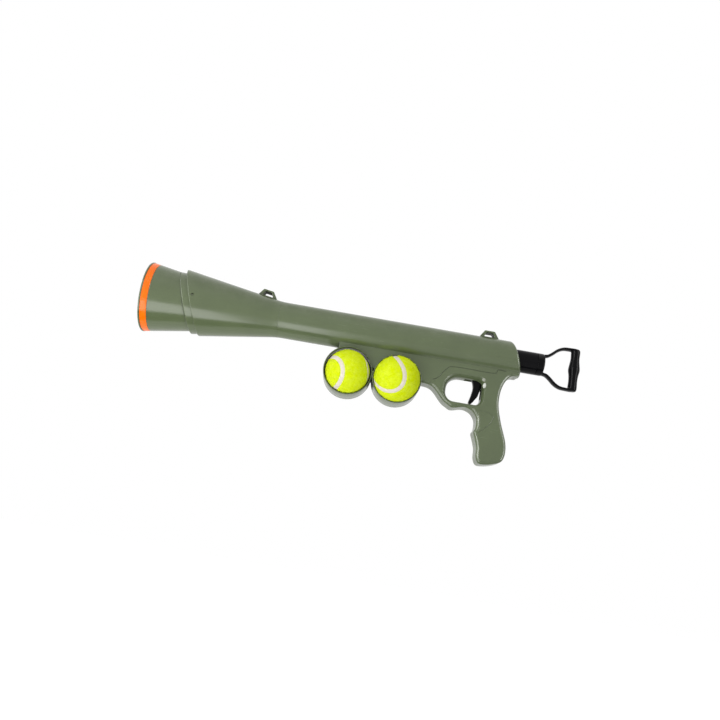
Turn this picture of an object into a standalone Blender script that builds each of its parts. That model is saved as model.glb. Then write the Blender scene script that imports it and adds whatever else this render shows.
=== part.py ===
"""Spring-driven dog ball thrower, modelled as its separate pieces.

Lengths along the bore are stations, measured from the front of the muzzle lip towards the pull
handle, and heights are measured from the bore's axis. Every piece hangs from one empty that puts
the grip's middle at the world's origin, with the muzzle towards -X, the grip down and the parting
plane of the two housing halves at Y = 0.
"""

import math

import bmesh
import bpy
from mathutils import Matrix, Vector

MM = 0.001

# Fits
WALL = 2.5 * MM
FIT_GAP = 0.3 * MM
RUN_GAP = 0.35 * MM
PIN_GAP = 0.2 * MM
OVERRUN = 2.0 * MM
WELD = 0.001 * MM
SMOOTH_ANGLE = math.radians(32)

# Facets
ROUND_SIDES = 48
TUBE_SIDES = 32
SMALL_SIDES = 14
WIRE_SIDES = 5
EDGE_STEPS = 2
ARC_STEPS = 4

# Where the grip's middle lies, from the muzzle lip and from the bore's axis
GRIP_STATION = 492.0 * MM
GRIP_DROP = 105.0 * MM

# Every slanted end and step leans by this share of its height
RAKE = 0.34

# Muzzle nozzle with its rubber band
LIP_RADIUS = 48.6 * MM
LIP_LENGTH = 2.2 * MM
LIP_ROUND = 0.7 * MM
BAND_LENGTH = 9.0 * MM
BAND_DEPTH = 2.2 * MM
NOZZLE_RADIUS = 46.6 * MM
NOZZLE_TAPER = 0.165
NOZZLE_LENGTH = 53.7 * MM
MOUTH_FLARE = 3.0 * MM
COLLAR_LENGTH = 10.0 * MM
COLLAR_STEP = 3.0 * MM
SPIGOT_LENGTH = 12.0 * MM
STUD_RADIUS = 1.7 * MM
STUD_HEIGHT = 2.0 * MM
STUD_INSET = 5.5 * MM
STUD_DEPTH = 1.2 * MM

# Funnel that holds the loaded ball
FUNNEL_STATION = NOZZLE_LENGTH + COLLAR_LENGTH
FUNNEL_RADIUS = 44.6 * MM
FUNNEL_LENGTH = 123.3 * MM
NECK_LEAD = 5.0 * MM
TENON_LENGTH = 13.0 * MM
TENON_HEAD = 3.0 * MM

# Barrel and receiver
BARREL_RADIUS = 25.2 * MM
BORE_RADIUS = BARREL_RADIUS - WALL
TENON_STEP = 1.7 * MM
TENON_RADIUS = BORE_RADIUS - TENON_STEP
NECK_STEP = 3.9 * MM
NECK_RADIUS = BORE_RADIUS - NECK_STEP
BARREL_STATION = FUNNEL_STATION + FUNNEL_LENGTH
RECEIVER_STATION = 521.6 * MM
REAR_ROUND = 4.2 * MM
REAR_WALL = 8.0 * MM
RIB_HEIGHT = 1.9 * MM
RIB_WIDTH = 3.0 * MM
REAR_FACE = RECEIVER_STATION - RAKE * BARREL_RADIUS - REAR_WALL

# Housing slab: web, trigger guard and grip
HOUSING_WIDTH = 30.0 * MM
HOUSING_HALF = HOUSING_WIDTH / 2
EDGE_ROUND = 3.0 * MM
SLAB_SINK = 9.2 * MM
SLAB_TOP = BARREL_RADIUS - SLAB_SINK
GRIP_WIDTH = 44.0 * MM
GRIP_REACH = 153.2 * MM
WEB_STATION = 275.0 * MM
WEB_STEP = 5.8 * MM
WEB_DEPTH = BARREL_RADIUS + WEB_STEP

# The lower outline from the ball holder round the guard and the grip to the receiver's heel: shares of
# the grip's width behind its middle, and depth shares. A depth share of 1 is the guard's floor, and 2
# is the grip's end.
HOUSING_SHARES = (
    (-2.17, 0.754), (-1.95, 0.770), (-1.77, 0.827), (-1.48, 1.005), (-1.30, 1.070),
    (-1.13, 1.108), (-0.82, 1.066), (-0.64, 1.078), (-0.48, 1.129), (-0.36, 1.238),
    (-0.35, 1.402), (-0.40, 1.467), (-0.33, 1.579), (-0.25, 1.728), (-0.23, 1.893),
    (-0.12, 2.000), (0.11, 2.000), (0.36, 1.964), (0.58, 1.897), (0.66, 1.753),
    (0.62, 1.546), (0.42, 1.238), (0.28, 0.938), (0.28, 0.687), (0.37, 0.496),
)

# The heel behind the grip, as shares of the grip's width and of the heel's depth
HEEL_STEP = 1.6 * MM
HEEL_DROP = BARREL_RADIUS + HEEL_STEP
HEEL_SHARES = ((0.51, 1.07), (0.62, 0.97), (0.79, 0.91))

# Sear and trigger pivots and the guard's roof, each from the one above it
SEAR_PIVOT_RISE = 1.2 * MM
SEAR_PIVOT_DROP = BARREL_RADIUS - SEAR_PIVOT_RISE
TRIGGER_PIVOT_STEP = 10.0 * MM
TRIGGER_PIVOT_DROP = SEAR_PIVOT_DROP + TRIGGER_PIVOT_STEP
CHAMBER_STEP = 12.0 * MM
CHAMBER_FLOOR = SEAR_PIVOT_DROP + CHAMBER_STEP

# Trigger guard opening
GUARD_ROOF = 2.6 * MM
GUARD_FRONT = 62.9 * MM
GUARD_REAR = 11.6 * MM
GUARD_TOP = CHAMBER_FLOOR + GUARD_ROOF
GUARD_HEIGHT = 37.0 * MM
GUARD_FLOOR = GUARD_TOP + GUARD_HEIGHT
HOLLOW_SHARE = 0.82
GRIP_HOLLOW_DEPTH = HOLLOW_SHARE * GUARD_FLOOR
GUARD_CORNER_SHARES = (0.47, 0.24, 0.24, 0.35)

# Strap lugs
LUG_BASE = 28.6 * MM
LUG_TOP = 14.0 * MM
LUG_HEIGHT = 9.1 * MM
LUG_WIDTH = 14.0 * MM
LUG_BAR = 2.6 * MM
LUG_FOOT = 6.8 * MM
LUG_ROOT = 1.8 * MM
FRONT_LUG_STATION = 164.6 * MM
REAR_LUG_STATION = 480.0 * MM

# Twin ball holder and balls
RING_RADIUS = 33.7 * MM
RING_WALL = 1.5 * MM
RING_LENGTH = 38.0 * MM
RING_SPACING = 67.9 * MM
RING_SINK = 0.2 * MM
RING_DROP = BARREL_RADIUS + RING_RADIUS - RING_SINK
RING_STATION = 292.8 * MM
RING_CHAMFER = 0.4 * MM
RING_STOP = 2.0 * MM
RING_LIP = 8.2 * MM
KEEL_WIDTH = 4.0 * MM
KEEL_LENGTH = 10.4 * MM
KEEL_STEP = 15.8 * MM
KEEL_DEPTH = BARREL_RADIUS + KEEL_STEP
BRIDGE_LENGTH = 5.0 * MM
BRIDGE_HEIGHT = 9.0 * MM
TONGUE_LENGTH = 8.0 * MM
TONGUE_HEIGHT = 9.0 * MM
TONGUE_ANGLE = math.radians(26)
FRONT_BALL_RADIUS = 30.6 * MM
FRONT_BALL_OUT = 12.0 * MM
REAR_BALL_RADIUS = 31.8 * MM
REAR_BALL_OUT = 16.0 * MM
BALL_ROWS = 12

# Plunger: striker pad, piston, seal, tube and pull handle
STROKE = 100.0 * MM
BUMPER_LENGTH = 3.0 * MM
PISTON_LENGTH = 14.0 * MM
STRIKER_REACH = 52.0 * MM
PAD_LENGTH = 14.0 * MM
PAD_STEP = 1.2 * MM
PAD_RADIUS = NECK_RADIUS - PAD_STEP
PAD_ROUND = 4.0 * MM
PAD_DISH = 2.0 * MM
SEAL_WIDTH = 4.0 * MM
SEAL_DEPTH = 2.7 * MM
PLUG_LENGTH = 15.0 * MM
TUBE_STEP = 7.0 * MM
TUBE_RADIUS = BORE_RADIUS - TUBE_STEP
TUBE_WALL = 2.6 * MM
CATCH_WIDTH = 6.6 * MM
CATCH_DEPTH = 1.6 * MM
TUBE_SHOWN = 28.7 * MM
STEM_STEP = 3.2 * MM
STEM_RADIUS = TUBE_RADIUS - STEM_STEP

# Pull handle
HANDLE_BASE = 10.2 * MM
HANDLE_BASE_ROUND = 3.0 * MM
HANDLE_REACH = 54.4 * MM
HANDLE_HALF = 30.6 * MM
ARM_THICK = 4.2 * MM
ARM_DEPTH = 13.0 * MM
ARM_SIDES = 10
BAR_WIDTH = 15.9 * MM
BAR_DEPTH = 16.5 * MM
BAR_SIDES = 16

# The handle arm's middle line, as shares of the reach behind the base's front and of the half height
ARM_SHARES = ((0.12, 0.39), (0.21, 0.43), (0.29, 0.46), (0.40, 0.60), (0.52, 0.79), (0.67, 0.92),
              (0.85, 0.945), (0.98, 0.95))

# The bar's width along its height, as shares of the half height and of the full width
BAR_SHARES = ((-1.00, 0.55), (-0.95, 0.76), (-0.80, 0.80), (-0.52, 0.76), (-0.25, 0.83), (0.00, 1.00),
              (0.25, 0.89), (0.52, 0.76), (0.80, 0.79), (0.95, 0.76), (1.00, 0.55))

# Main spring and what it pushes on
SEAT_STATION = 395.0 * MM
SEAT_LENGTH = 6.0 * MM
BUSH_LENGTH = 10.6 * MM
SPRING_WIRE = 2.2 * MM
SPRING_RADIUS = (BORE_RADIUS + TUBE_RADIUS) / 2
SPRING_TURNS = 15
SPRING_POINTS = 10

# Sear, which holds the cocked tube
SEAR_PIVOT_STATION = 462.0 * MM
SEAR_HUB = 3.6 * MM
SEAR_FRONT = 34.0 * MM
SEAR_REAR = 26.0 * MM
SEAR_UNDER = 2.1 * MM
SEAR_BAR = 4.5 * MM
TOOTH_LENGTH = 5.6 * MM
LEVER_WIDTH = 8.4 * MM
LEVER_PIN = 1.5 * MM
PIN_LENGTH = 22.0 * MM

# Trigger, hung on its own pin below the sear's tail
TRIGGER_PIVOT_STATION = 474.5 * MM
TRIGGER_HEIGHT = 38.6 * MM
TRIGGER_DEPTH = 18.5 * MM
TRIGGER_ROUND = 1.2 * MM

# The trigger's side, from its pivot: shares of its depth behind and of its height below the pivot
TRIGGER_SHARES = (
    (-1.00, 0.075), (-1.00, 0.127), (-0.60, 0.130), (-0.45, 0.230), (-0.37, 0.400),
    (-0.40, 0.560), (-0.47, 0.740), (-0.58, 0.950), (-0.50, 1.000), (-0.34, 0.985),
    (-0.14, 0.840), (0.05, 0.690), (0.15, 0.440), (0.22, 0.200), (0.32, 0.040),
    (0.70, -0.110), (0.70, -0.197), (0.45, -0.197), (0.25, -0.120), (-0.25, -0.110),
    (-0.60, -0.010),
)

# Room for the sear and the trigger, inside the housing
CHAMBER_WIDTH = 10.6 * MM
CHAMBER_FRONT = 38.0 * MM
CHAMBER_REAR = 27.5 * MM
SLOT_LENGTH = 28.5 * MM
POCKET_STEP = 11.4 * MM
SPRING_POCKET = GUARD_TOP + POCKET_STEP

# Lever springs
LEVER_SPRING_WIRE = 0.8 * MM
LEVER_SPRING_RADIUS = 2.4 * MM
LEVER_SPRING_TURNS = 5
LEVER_SPRING_POINTS = 8
SEAR_SPRING_INSET = 12.0 * MM
TRIGGER_SPRING_DROP = 11.0 * MM
TRIGGER_SPRING_SHARE = 0.22

# Housing screws, driven from the +Y side: shares as in HOUSING_SHARES
SCREW_HEAD = 3.0 * MM
SCREW_HEAD_HEIGHT = 2.0 * MM
SCREW_SHANK = 1.5 * MM
SCREW_LENGTH = 18.0 * MM
SCREW_RECESS = 5.5 * MM
SCREW_SOCKET = 1.1 * MM
SCREW_GAP = 0.25 * MM
HEAD_GAP = 0.4 * MM
BOSS_RADIUS = 4.2 * MM
SCREW_SHARES = (
    (-3.765, 0.434), (-2.00, 0.530), (-1.66, 0.709), (0.115, 0.450), (0.11, 0.993),
    (0.02, 1.812), (0.41, 1.743),
)

# Colours of the mouldings
GREEN = (0.135, 0.165, 0.095)
ORANGE = (0.90, 0.16, 0.01)
BLACK = (0.012, 0.012, 0.013)
FELT = (0.68, 0.80, 0.01)
STEEL = (0.55, 0.55, 0.56)
NYLON = (0.70, 0.68, 0.62)
RUBBER = (0.03, 0.03, 0.03)


def material(name, colour, roughness, metallic):
    """A plain Principled material."""
    made = bpy.data.materials.new(name)
    made.use_nodes = True
    shader = made.node_tree.nodes["Principled BSDF"]
    shader.inputs["Base Color"].default_value = (*colour, 1.0)
    shader.inputs["Roughness"].default_value = roughness
    shader.inputs["Metallic"].default_value = metallic
    return made


def mesh_object(name, points, faces):
    """An object of the given points and faces, with its normals made to point out."""
    mesh = bpy.data.meshes.new(name)
    mesh.from_pydata([tuple(point) for point in points], [], faces)
    shape = bmesh.new()
    shape.from_mesh(mesh)
    bmesh.ops.recalc_face_normals(shape, faces=shape.faces)
    shape.to_mesh(mesh)
    shape.free()
    piece = bpy.data.objects.new(name, mesh)
    bpy.context.scene.collection.objects.link(piece)
    return piece


def lofted(name, rings, closed=False):
    """Skins rings of equal point counts. A closed loft joins its last ring to its first, and an
    open one gets a face on each end."""
    count = len(rings[0])
    points = [point for ring in rings for point in ring]
    faces = []
    spans = len(rings) if closed else len(rings) - 1
    for row in range(spans):
        here = row * count
        there = (row + 1) % len(rings) * count
        for column in range(count):
            after = (column + 1) % count
            faces.append((here + column, here + after, there + after, there + column))
    if not closed:
        last = (len(rings) - 1) * count
        faces.append(tuple(range(count)))
        faces.append(tuple(range(last, last + count)))
    return mesh_object(name, points, faces)


def hoop(station, radius, sides=ROUND_SIDES, rake=0.0, height=0.0):
    """A ring of points round the bore. A raked ring leans forward at its top, and radius may be a
    function of the station."""
    ring = []
    for index in range(sides):
        angle = math.tau * index / sides
        at = station
        size = radius(at) if callable(radius) else radius
        if rake:
            for _ in range(ROUND_SIDES):
                at = station - rake * size * math.sin(angle)
                size = radius(at) if callable(radius) else radius
        ring.append(Vector((at, size * math.cos(angle), height + size * math.sin(angle))))
    return ring


def turned(name, profile, sides=ROUND_SIDES, closed=True):
    """A piece turned round the bore from (station, radius) pairs."""
    return lofted(name, [hoop(station, radius, sides) for station, radius in profile], closed)


def cylinder(name, radius, start, end, sides=SMALL_SIDES):
    """A solid cylinder between two points."""
    start = Vector(start)
    end = Vector(end)
    turn = (end - start).to_track_quat("Z", "Y").to_matrix()
    rings = []
    for place in (start, end):
        rings.append([
            place + turn @ Vector((radius * math.cos(math.tau * i / sides),
                                   radius * math.sin(math.tau * i / sides), 0.0))
            for i in range(sides)
        ])
    return lofted(name, rings)


def block(name, low, high):
    """A box between two corners."""
    corners = [(x, z) for x, z in ((low[0], low[2]), (high[0], low[2]), (high[0], high[2]), (low[0], high[2]))]
    return prism(name, corners, low[1], high[1])


def prism(name, outline, near, far):
    """Extrudes an outline of (station, height) pairs across the parting plane."""
    rings = [[Vector((x, y, z)) for x, z in outline] for y in (near, far)]
    return lofted(name, rings)


def signed_area(outline):
    """Twice the area that the outline goes round, positive when it runs anticlockwise."""
    return sum(a[0] * b[1] - b[0] * a[1] for a, b in zip(outline, outline[1:] + outline[:1]))


def grown(outline, distance):
    """The outline moved outwards by a distance, with mitred corners."""
    turn = 1.0 if signed_area(outline) > 0 else -1.0
    result = []
    count = len(outline)
    for index in range(count):
        before = Vector(outline[index - 1])
        here = Vector(outline[index])
        after = Vector(outline[(index + 1) % count])
        entry = (here - before).normalized()
        leave = (after - here).normalized()
        normal = Vector((entry.y + leave.y, -entry.x - leave.x)).normalized() * turn
        spread = max(normal.dot(Vector((entry.y, -entry.x)) * turn), 0.5)
        result.append(tuple(here + normal * distance / spread))
    return result


def rounded_prism(name, outline, half, edge, flare=False):
    """An extrusion centred on the parting plane whose outer edges are rounded inwards or, for a
    cutter, flared outwards."""
    levels = []
    for step in range(EDGE_STEPS + 1):
        angle = math.pi / 2 * step / EDGE_STEPS
        levels.append((half - edge + edge * math.sin(angle), edge * (1 - math.cos(angle))))
    sign = 1.0 if flare else -1.0
    if flare:
        levels.append((half + OVERRUN, edge))
    full = [(-depth, inset) for depth, inset in reversed(levels)] + levels
    rings = []
    for depth, inset in full:
        shifted = grown(outline, sign * inset) if inset > 0 else outline
        rings.append([Vector((x, depth, z)) for x, z in shifted])
    return lofted(name, rings)


def filleted(corners, radii):
    """A polygon with each corner rounded to its own radius."""
    outline = []
    count = len(corners)
    for index in range(count):
        before = Vector(corners[index - 1])
        here = Vector(corners[index])
        after = Vector(corners[(index + 1) % count])
        entry = (before - here).normalized()
        leave = (after - here).normalized()
        half = math.acos(max(-1.0, min(1.0, entry.dot(leave)))) / 2
        radius = radii[index]
        centre = here + (entry + leave).normalized() * radius / math.sin(half)
        start = here + entry * radius / math.tan(half) - centre
        end = here + leave * radius / math.tan(half) - centre
        sweep = start.angle_signed(end)
        for step in range(ARC_STEPS + 1):
            turned_by = Matrix.Rotation(-sweep * step / ARC_STEPS, 2)
            outline.append(tuple(centre + turned_by @ start))
    return outline


def smoothed(points, steps=2):
    """Points on one Catmull-Rom curve through the given points, both ends kept."""
    line = [Vector(point) for point in points]
    result = []
    for index in range(len(line) - 1):
        p0 = line[max(index - 1, 0)]
        p1 = line[index]
        p2 = line[index + 1]
        p3 = line[min(index + 2, len(line) - 1)]
        for step in range(steps):
            t = step / steps
            result.append(0.5 * (
                2 * p1 + (p2 - p0) * t + (2 * p0 - 5 * p1 + 4 * p2 - p3) * t ** 2
                + (3 * p1 - p0 - 3 * p2 + p3) * t ** 3
            ))
    result.append(line[-1])
    return [tuple(point) for point in result]


def combine(piece, tool, operation):
    """Applies one exact Boolean and takes the tool away."""
    step = piece.modifiers.new(operation.title(), "BOOLEAN")
    step.operation = operation
    step.object = tool
    step.solver = "EXACT"
    graph = bpy.context.evaluated_depsgraph_get()
    result = bpy.data.meshes.new_from_object(piece.evaluated_get(graph))
    old = piece.data
    piece.modifiers.clear()
    piece.data = result
    bpy.data.meshes.remove(old)
    bpy.data.objects.remove(tool)
    return piece


def bundled(name, shapes):
    """Shapes that don't touch, put in one object as they are."""
    whole = bmesh.new()
    for shape in shapes:
        whole.from_mesh(shape.data)
        bpy.data.objects.remove(shape)
    mesh = bpy.data.meshes.new(name)
    whole.to_mesh(mesh)
    whole.free()
    bundle = bpy.data.objects.new(name, mesh)
    bpy.context.scene.collection.objects.link(bundle)
    return bundle


def joined(piece, *tools):
    """The piece with other shapes fused to it."""
    for tool in tools:
        combine(piece, tool, "UNION")
    return piece


def cut(piece, *tools):
    """The piece with other shapes taken out of it."""
    for tool in tools:
        combine(piece, tool, "DIFFERENCE")
    return piece


def finish(piece, skin, carrier, pivot=(0.0, 0.0, 0.0)):
    """Welds and smooths a piece, gives it its material, sets its origin on its joint and hangs it
    from the bore."""
    mesh = piece.data
    shape = bmesh.new()
    shape.from_mesh(mesh)
    bmesh.ops.remove_doubles(shape, verts=shape.verts, dist=WELD)
    bmesh.ops.translate(shape, verts=shape.verts, vec=-Vector(pivot))
    shape.to_mesh(mesh)
    shape.free()
    mesh.materials.clear()
    mesh.materials.append(skin)
    mesh.shade_smooth()
    mesh.set_sharp_from_angle(angle=SMOOTH_ANGLE)
    piece.parent = carrier
    piece.location = pivot
    return piece


def nozzle_outer(station):
    """Outer radius of the nozzle's cone."""
    return NOZZLE_RADIUS - NOZZLE_TAPER * (station - LIP_LENGTH - BAND_LENGTH)


def funnel_slope():
    """How fast the funnel narrows along the bore."""
    return (FUNNEL_RADIUS - BARREL_RADIUS) / FUNNEL_LENGTH


def funnel_outer(station):
    """Outer radius of the funnel."""
    return FUNNEL_RADIUS - funnel_slope() * (station - FUNNEL_STATION)


def funnel_inner(station):
    """Inner radius of the funnel."""
    return funnel_outer(station) - WALL


def collar_outer(station):
    """Outer radius of the collar and of the spigot inside the funnel. The collar ahead of the
    funnel keeps the radius that it has there."""
    at = max(station, FUNNEL_STATION)
    return funnel_inner(at) - FIT_GAP


def stud_place(side, depth):
    """A point on the axis of the studs that lock the nozzle in the funnel."""
    return (FUNNEL_STATION + STUD_INSET, side * depth, STUD_HEIGHT)


def make_nozzle():
    """Front cone with its lip, band groove, raked collar, and the spigot that plugs into the funnel."""
    groove = LIP_LENGTH + BAND_LENGTH
    floor = nozzle_outer(groove) - BAND_DEPTH
    inner_front = floor - WALL
    spigot_end = FUNNEL_STATION + SPIGOT_LENGTH
    ends = (
        (0.0, LIP_RADIUS - LIP_ROUND), (LIP_ROUND, LIP_RADIUS), (LIP_LENGTH, LIP_RADIUS),
        (LIP_LENGTH, floor), (groove, floor), (groove, nozzle_outer(groove)),
    )
    rings = [hoop(station, radius) for station, radius in ends]
    rings.append(hoop(NOZZLE_LENGTH, nozzle_outer, rake=RAKE))
    rings.append(hoop(NOZZLE_LENGTH, collar_outer, rake=RAKE))
    rings.append(hoop(FUNNEL_STATION, collar_outer, rake=RAKE))
    rings.append(hoop(spigot_end, collar_outer, rake=RAKE))
    inside = lambda station: collar_outer(station) - WALL
    rings.append(hoop(spigot_end, inside, rake=RAKE))
    throat = lambda station: nozzle_outer(station) - WALL
    rings.append(hoop(NOZZLE_LENGTH, throat, rake=RAKE))
    rings.append(hoop(MOUTH_FLARE, inner_front))
    rings.append(hoop(0.0, LIP_RADIUS - WALL - LIP_ROUND))
    nozzle = lofted("nozzle", rings, closed=True)
    top = funnel_outer(FUNNEL_STATION + STUD_INSET) - STUD_DEPTH
    for side in (-1, 1):
        root = top - STUD_DEPTH - WALL
        joined(nozzle, cylinder("stud", STUD_RADIUS, stud_place(side, root), stud_place(side, top)))
    return nozzle


def make_muzzle_band():
    """Soft band stretched into the nozzle's groove."""
    front = LIP_LENGTH + FIT_GAP
    back = LIP_LENGTH + BAND_LENGTH - FIT_GAP
    inner = nozzle_outer(LIP_LENGTH + BAND_LENGTH) - BAND_DEPTH + FIT_GAP
    profile = (
        (front, inner), (front, nozzle_outer(front) - LIP_ROUND), (front + LIP_ROUND, nozzle_outer(front)),
        (back - LIP_ROUND, nozzle_outer(back)), (back, nozzle_outer(back) - LIP_ROUND), (back, inner),
    )
    return turned("muzzle_band", profile)


def make_lug(name, station, surface):
    """A strap lug standing on a round surface, with its hole. surface gives the height at a station."""
    feet = [(station - LUG_BASE / 2, 0.0), (station + LUG_BASE / 2, 0.0)]
    heads = [(station + LUG_TOP / 2, LUG_HEIGHT), (station - LUG_TOP / 2, LUG_HEIGHT)]
    outline = [(at, surface(at) - LUG_ROOT) for at, _ in feet]
    outline += [(at, surface(at) + rise) for at, rise in heads]
    lug = prism(name, outline, -LUG_WIDTH / 2, LUG_WIDTH / 2)
    hole_feet = [station - LUG_BASE / 2 + LUG_FOOT, station + LUG_BASE / 2 - LUG_FOOT]
    hole_heads = [station + LUG_TOP / 2 - LUG_BAR, station - LUG_TOP / 2 + LUG_BAR]
    hole = [(at, surface(at) + FIT_GAP) for at in hole_feet]
    hole += [(at, surface(at) + LUG_HEIGHT - LUG_BAR) for at in hole_heads]
    side = LUG_WIDTH / 2 + OVERRUN
    return cut(lug, prism("lug_hole", hole, -side, side))


def make_funnel():
    """Long cone with a raked front, a neck that stops the piston, a tenon for the barrel halves
    and the front strap lug."""
    tenon_end = BARREL_STATION + TENON_LENGTH
    neck = BARREL_STATION - NECK_LEAD
    rings = [hoop(FUNNEL_STATION + FIT_GAP, funnel_outer, rake=RAKE)]
    profile = (
        (BARREL_STATION, BARREL_RADIUS), (BARREL_STATION, TENON_RADIUS),
        (tenon_end - TENON_HEAD, TENON_RADIUS), (tenon_end - TENON_HEAD, BORE_RADIUS - FIT_GAP),
        (tenon_end, BORE_RADIUS - FIT_GAP), (tenon_end, NECK_RADIUS), (neck, NECK_RADIUS),
        (neck - NECK_LEAD, funnel_inner(neck - NECK_LEAD)),
    )
    rings += [hoop(station, radius) for station, radius in profile]
    rings.append(hoop(FUNNEL_STATION + FIT_GAP, funnel_inner, rake=RAKE))
    funnel = lofted("funnel", rings, closed=True)
    joined(funnel, make_lug("front_lug", FRONT_LUG_STATION, funnel_outer))
    for side in (-1, 1):
        deep = funnel_inner(FUNNEL_STATION + STUD_INSET) - OVERRUN
        out = FUNNEL_RADIUS + OVERRUN
        cut(funnel, cylinder("stud_hole", STUD_RADIUS + FIT_GAP, stud_place(side, deep), stud_place(side, out)))
    return funnel


def housing_place(shares):
    """A (station, height) pair from a share of the grip's width and a depth share."""
    guard = min(shares[1], 1.0) * GUARD_FLOOR
    grip = max(shares[1] - 1.0, 0.0) * (GRIP_REACH - GUARD_FLOOR)
    return (GRIP_STATION + shares[0] * GRIP_WIDTH, -guard - grip)


def ring_stations():
    """Stations of the two rings of the ball holder."""
    return (RING_STATION, RING_STATION + RING_SPACING)


def housing_outline():
    """The slab's outline: web, guard, grip and heel, closed along the barrel."""
    front, rear = ring_stations()
    web = [
        (WEB_STATION, -SLAB_TOP), (WEB_STATION, -WEB_DEPTH), (front, -RING_DROP),
        ((front + rear) / 2, -RING_DROP + BRIDGE_HEIGHT), (rear, -RING_DROP),
    ]
    lower = [housing_place(shares) for shares in HOUSING_SHARES]
    lower += [(GRIP_STATION + across * GRIP_WIDTH, -down * HEEL_DROP) for across, down in HEEL_SHARES]
    lower.append((RECEIVER_STATION + RAKE * SLAB_TOP - REAR_ROUND, -SLAB_TOP))
    return web + smoothed(lower)


def make_slab():
    """Web, guard, grip and heel as one rounded slab, without the guard's opening."""
    slab = rounded_prism("slab", housing_outline(), HOUSING_HALF, EDGE_ROUND)
    low = GUARD_FLOOR
    left = GRIP_STATION - GUARD_FRONT
    right = GRIP_STATION - GUARD_REAR
    corners = [(left, -GUARD_TOP), (left, -low), (right, -low), (right, -GUARD_TOP)]
    radii = [share * GUARD_HEIGHT for share in GUARD_CORNER_SHARES]
    radii = [radii[0], radii[3], radii[2], radii[1]]
    opening = rounded_prism("opening", filleted(corners, radii), HOUSING_HALF + FIT_GAP, EDGE_ROUND, flare=True)
    return cut(slab, opening)


def make_barrel_blank():
    """The barrel's outside as a solid, with its raked and rounded rear end."""
    rings = [hoop(BARREL_STATION + FIT_GAP, BARREL_RADIUS)]
    for step in range(EDGE_STEPS + 1):
        angle = math.pi / 2 * step / EDGE_STEPS
        station = RECEIVER_STATION - REAR_ROUND * (1 - math.sin(angle))
        rings.append(hoop(station, BARREL_RADIUS - REAR_ROUND * (1 - math.cos(angle)), rake=RAKE))
    return lofted("barrel_blank", rings)


def make_bore_cutter():
    """Everything inside the barrel: tenon seat, bore, ribs and the tube's way out."""
    rib = BORE_RADIUS - RIB_HEIGHT
    seat_back = SEAT_STATION + SEAT_LENGTH + FIT_GAP
    bush_front = REAR_FACE - FIT_GAP - BUSH_LENGTH - FIT_GAP
    tenon = BARREL_STATION + TENON_LENGTH - TENON_HEAD - FIT_GAP
    profile = [
        (BARREL_STATION - OVERRUN, TENON_RADIUS + FIT_GAP), (tenon, TENON_RADIUS + FIT_GAP),
        (tenon, BORE_RADIUS), (seat_back, BORE_RADIUS), (seat_back, rib), (seat_back + RIB_WIDTH, rib),
        (seat_back + RIB_WIDTH, BORE_RADIUS), (bush_front - RIB_WIDTH, BORE_RADIUS),
        (bush_front - RIB_WIDTH, rib), (bush_front, rib), (bush_front, BORE_RADIUS),
        (REAR_FACE, BORE_RADIUS), (REAR_FACE, TUBE_RADIUS + RUN_GAP),
        (RECEIVER_STATION + RAKE * BARREL_RADIUS + OVERRUN, TUBE_RADIUS + RUN_GAP),
    ]
    return turned("bore_cutter", profile, TUBE_SIDES, closed=False)


def chamber_outline():
    """Side view of the room for sear and trigger, open to the guard's opening."""
    front = SEAR_PIVOT_STATION - CHAMBER_FRONT
    rear = SEAR_PIVOT_STATION + CHAMBER_REAR
    slot = rear - CHAMBER_REAR / 4 - SLOT_LENGTH
    open_to = GUARD_TOP + EDGE_ROUND
    step = GRIP_STATION - GUARD_REAR - 2 * EDGE_ROUND
    return [
        (front, -SLAB_TOP), (front, -CHAMBER_FLOOR), (slot, -CHAMBER_FLOOR), (slot, -open_to),
        (step, -open_to), (step, -SPRING_POCKET), (rear, -SPRING_POCKET), (rear, -SLAB_TOP),
    ]


def grip_hollow():
    """The hollow of the grip, one wall inside its outline."""
    inside = grown(housing_outline(), -WALL - EDGE_ROUND / 2)
    top = -GRIP_HOLLOW_DEPTH
    guard_wall = GRIP_STATION - GUARD_REAR + EDGE_ROUND + WALL
    guard_floor = -GUARD_FLOOR - WALL
    front = [place for place in inside if place[1] < guard_floor - WALL - EDGE_ROUND and place[0] < GRIP_STATION]
    rear = [place for place in inside if place[1] < top - WALL and place[0] > GRIP_STATION]
    outline = [(guard_wall, top), (guard_wall, guard_floor)] + front + rear + [(rear[-1][0], top)]
    depth = HOUSING_HALF - WALL
    return prism("grip_hollow", outline, -depth, depth)


def keel_block(gap):
    """The holder's keel, or the slot for it, between the rings."""
    middle = sum(ring_stations()) / 2
    side = KEEL_LENGTH / 2 + gap
    half = KEEL_WIDTH / 2 + gap
    return block("keel", (middle - side, -half, -RING_DROP), (middle + side, half, -KEEL_DEPTH + gap))


def tongue_block(gap):
    """The holder's rear tongue, or the slot for it."""
    rear = ring_stations()[1]
    reach = RING_RADIUS + TONGUE_LENGTH / 4
    station = rear + reach * math.cos(TONGUE_ANGLE)
    height = -RING_DROP + reach * math.sin(TONGUE_ANGLE)
    half = KEEL_WIDTH / 2 + gap
    along = TONGUE_LENGTH / 2 + gap
    up = TONGUE_HEIGHT / 2 + gap
    return block("tongue", (station - along, -half, height - up), (station + along, half, height + up))


def turned_across(name, place, steps, sides=SMALL_SIDES):
    """A solid turned round an axis across the parting plane, from (depth, radius) pairs."""
    rings = []
    for depth, radius in steps:
        centre = Vector((place[0], depth, place[1]))
        rings.append(oval(centre, Vector((1.0, 0.0, 0.0)), Vector((0.0, 0.0, 1.0)), radius, radius, sides))
    return lofted(name, rings)


def crosswise(name, radius, station, height, half, sides=ROUND_SIDES):
    """A cylinder across the parting plane."""
    return cylinder(name, radius, (station, -half, height), (station, half, height), sides)


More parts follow.
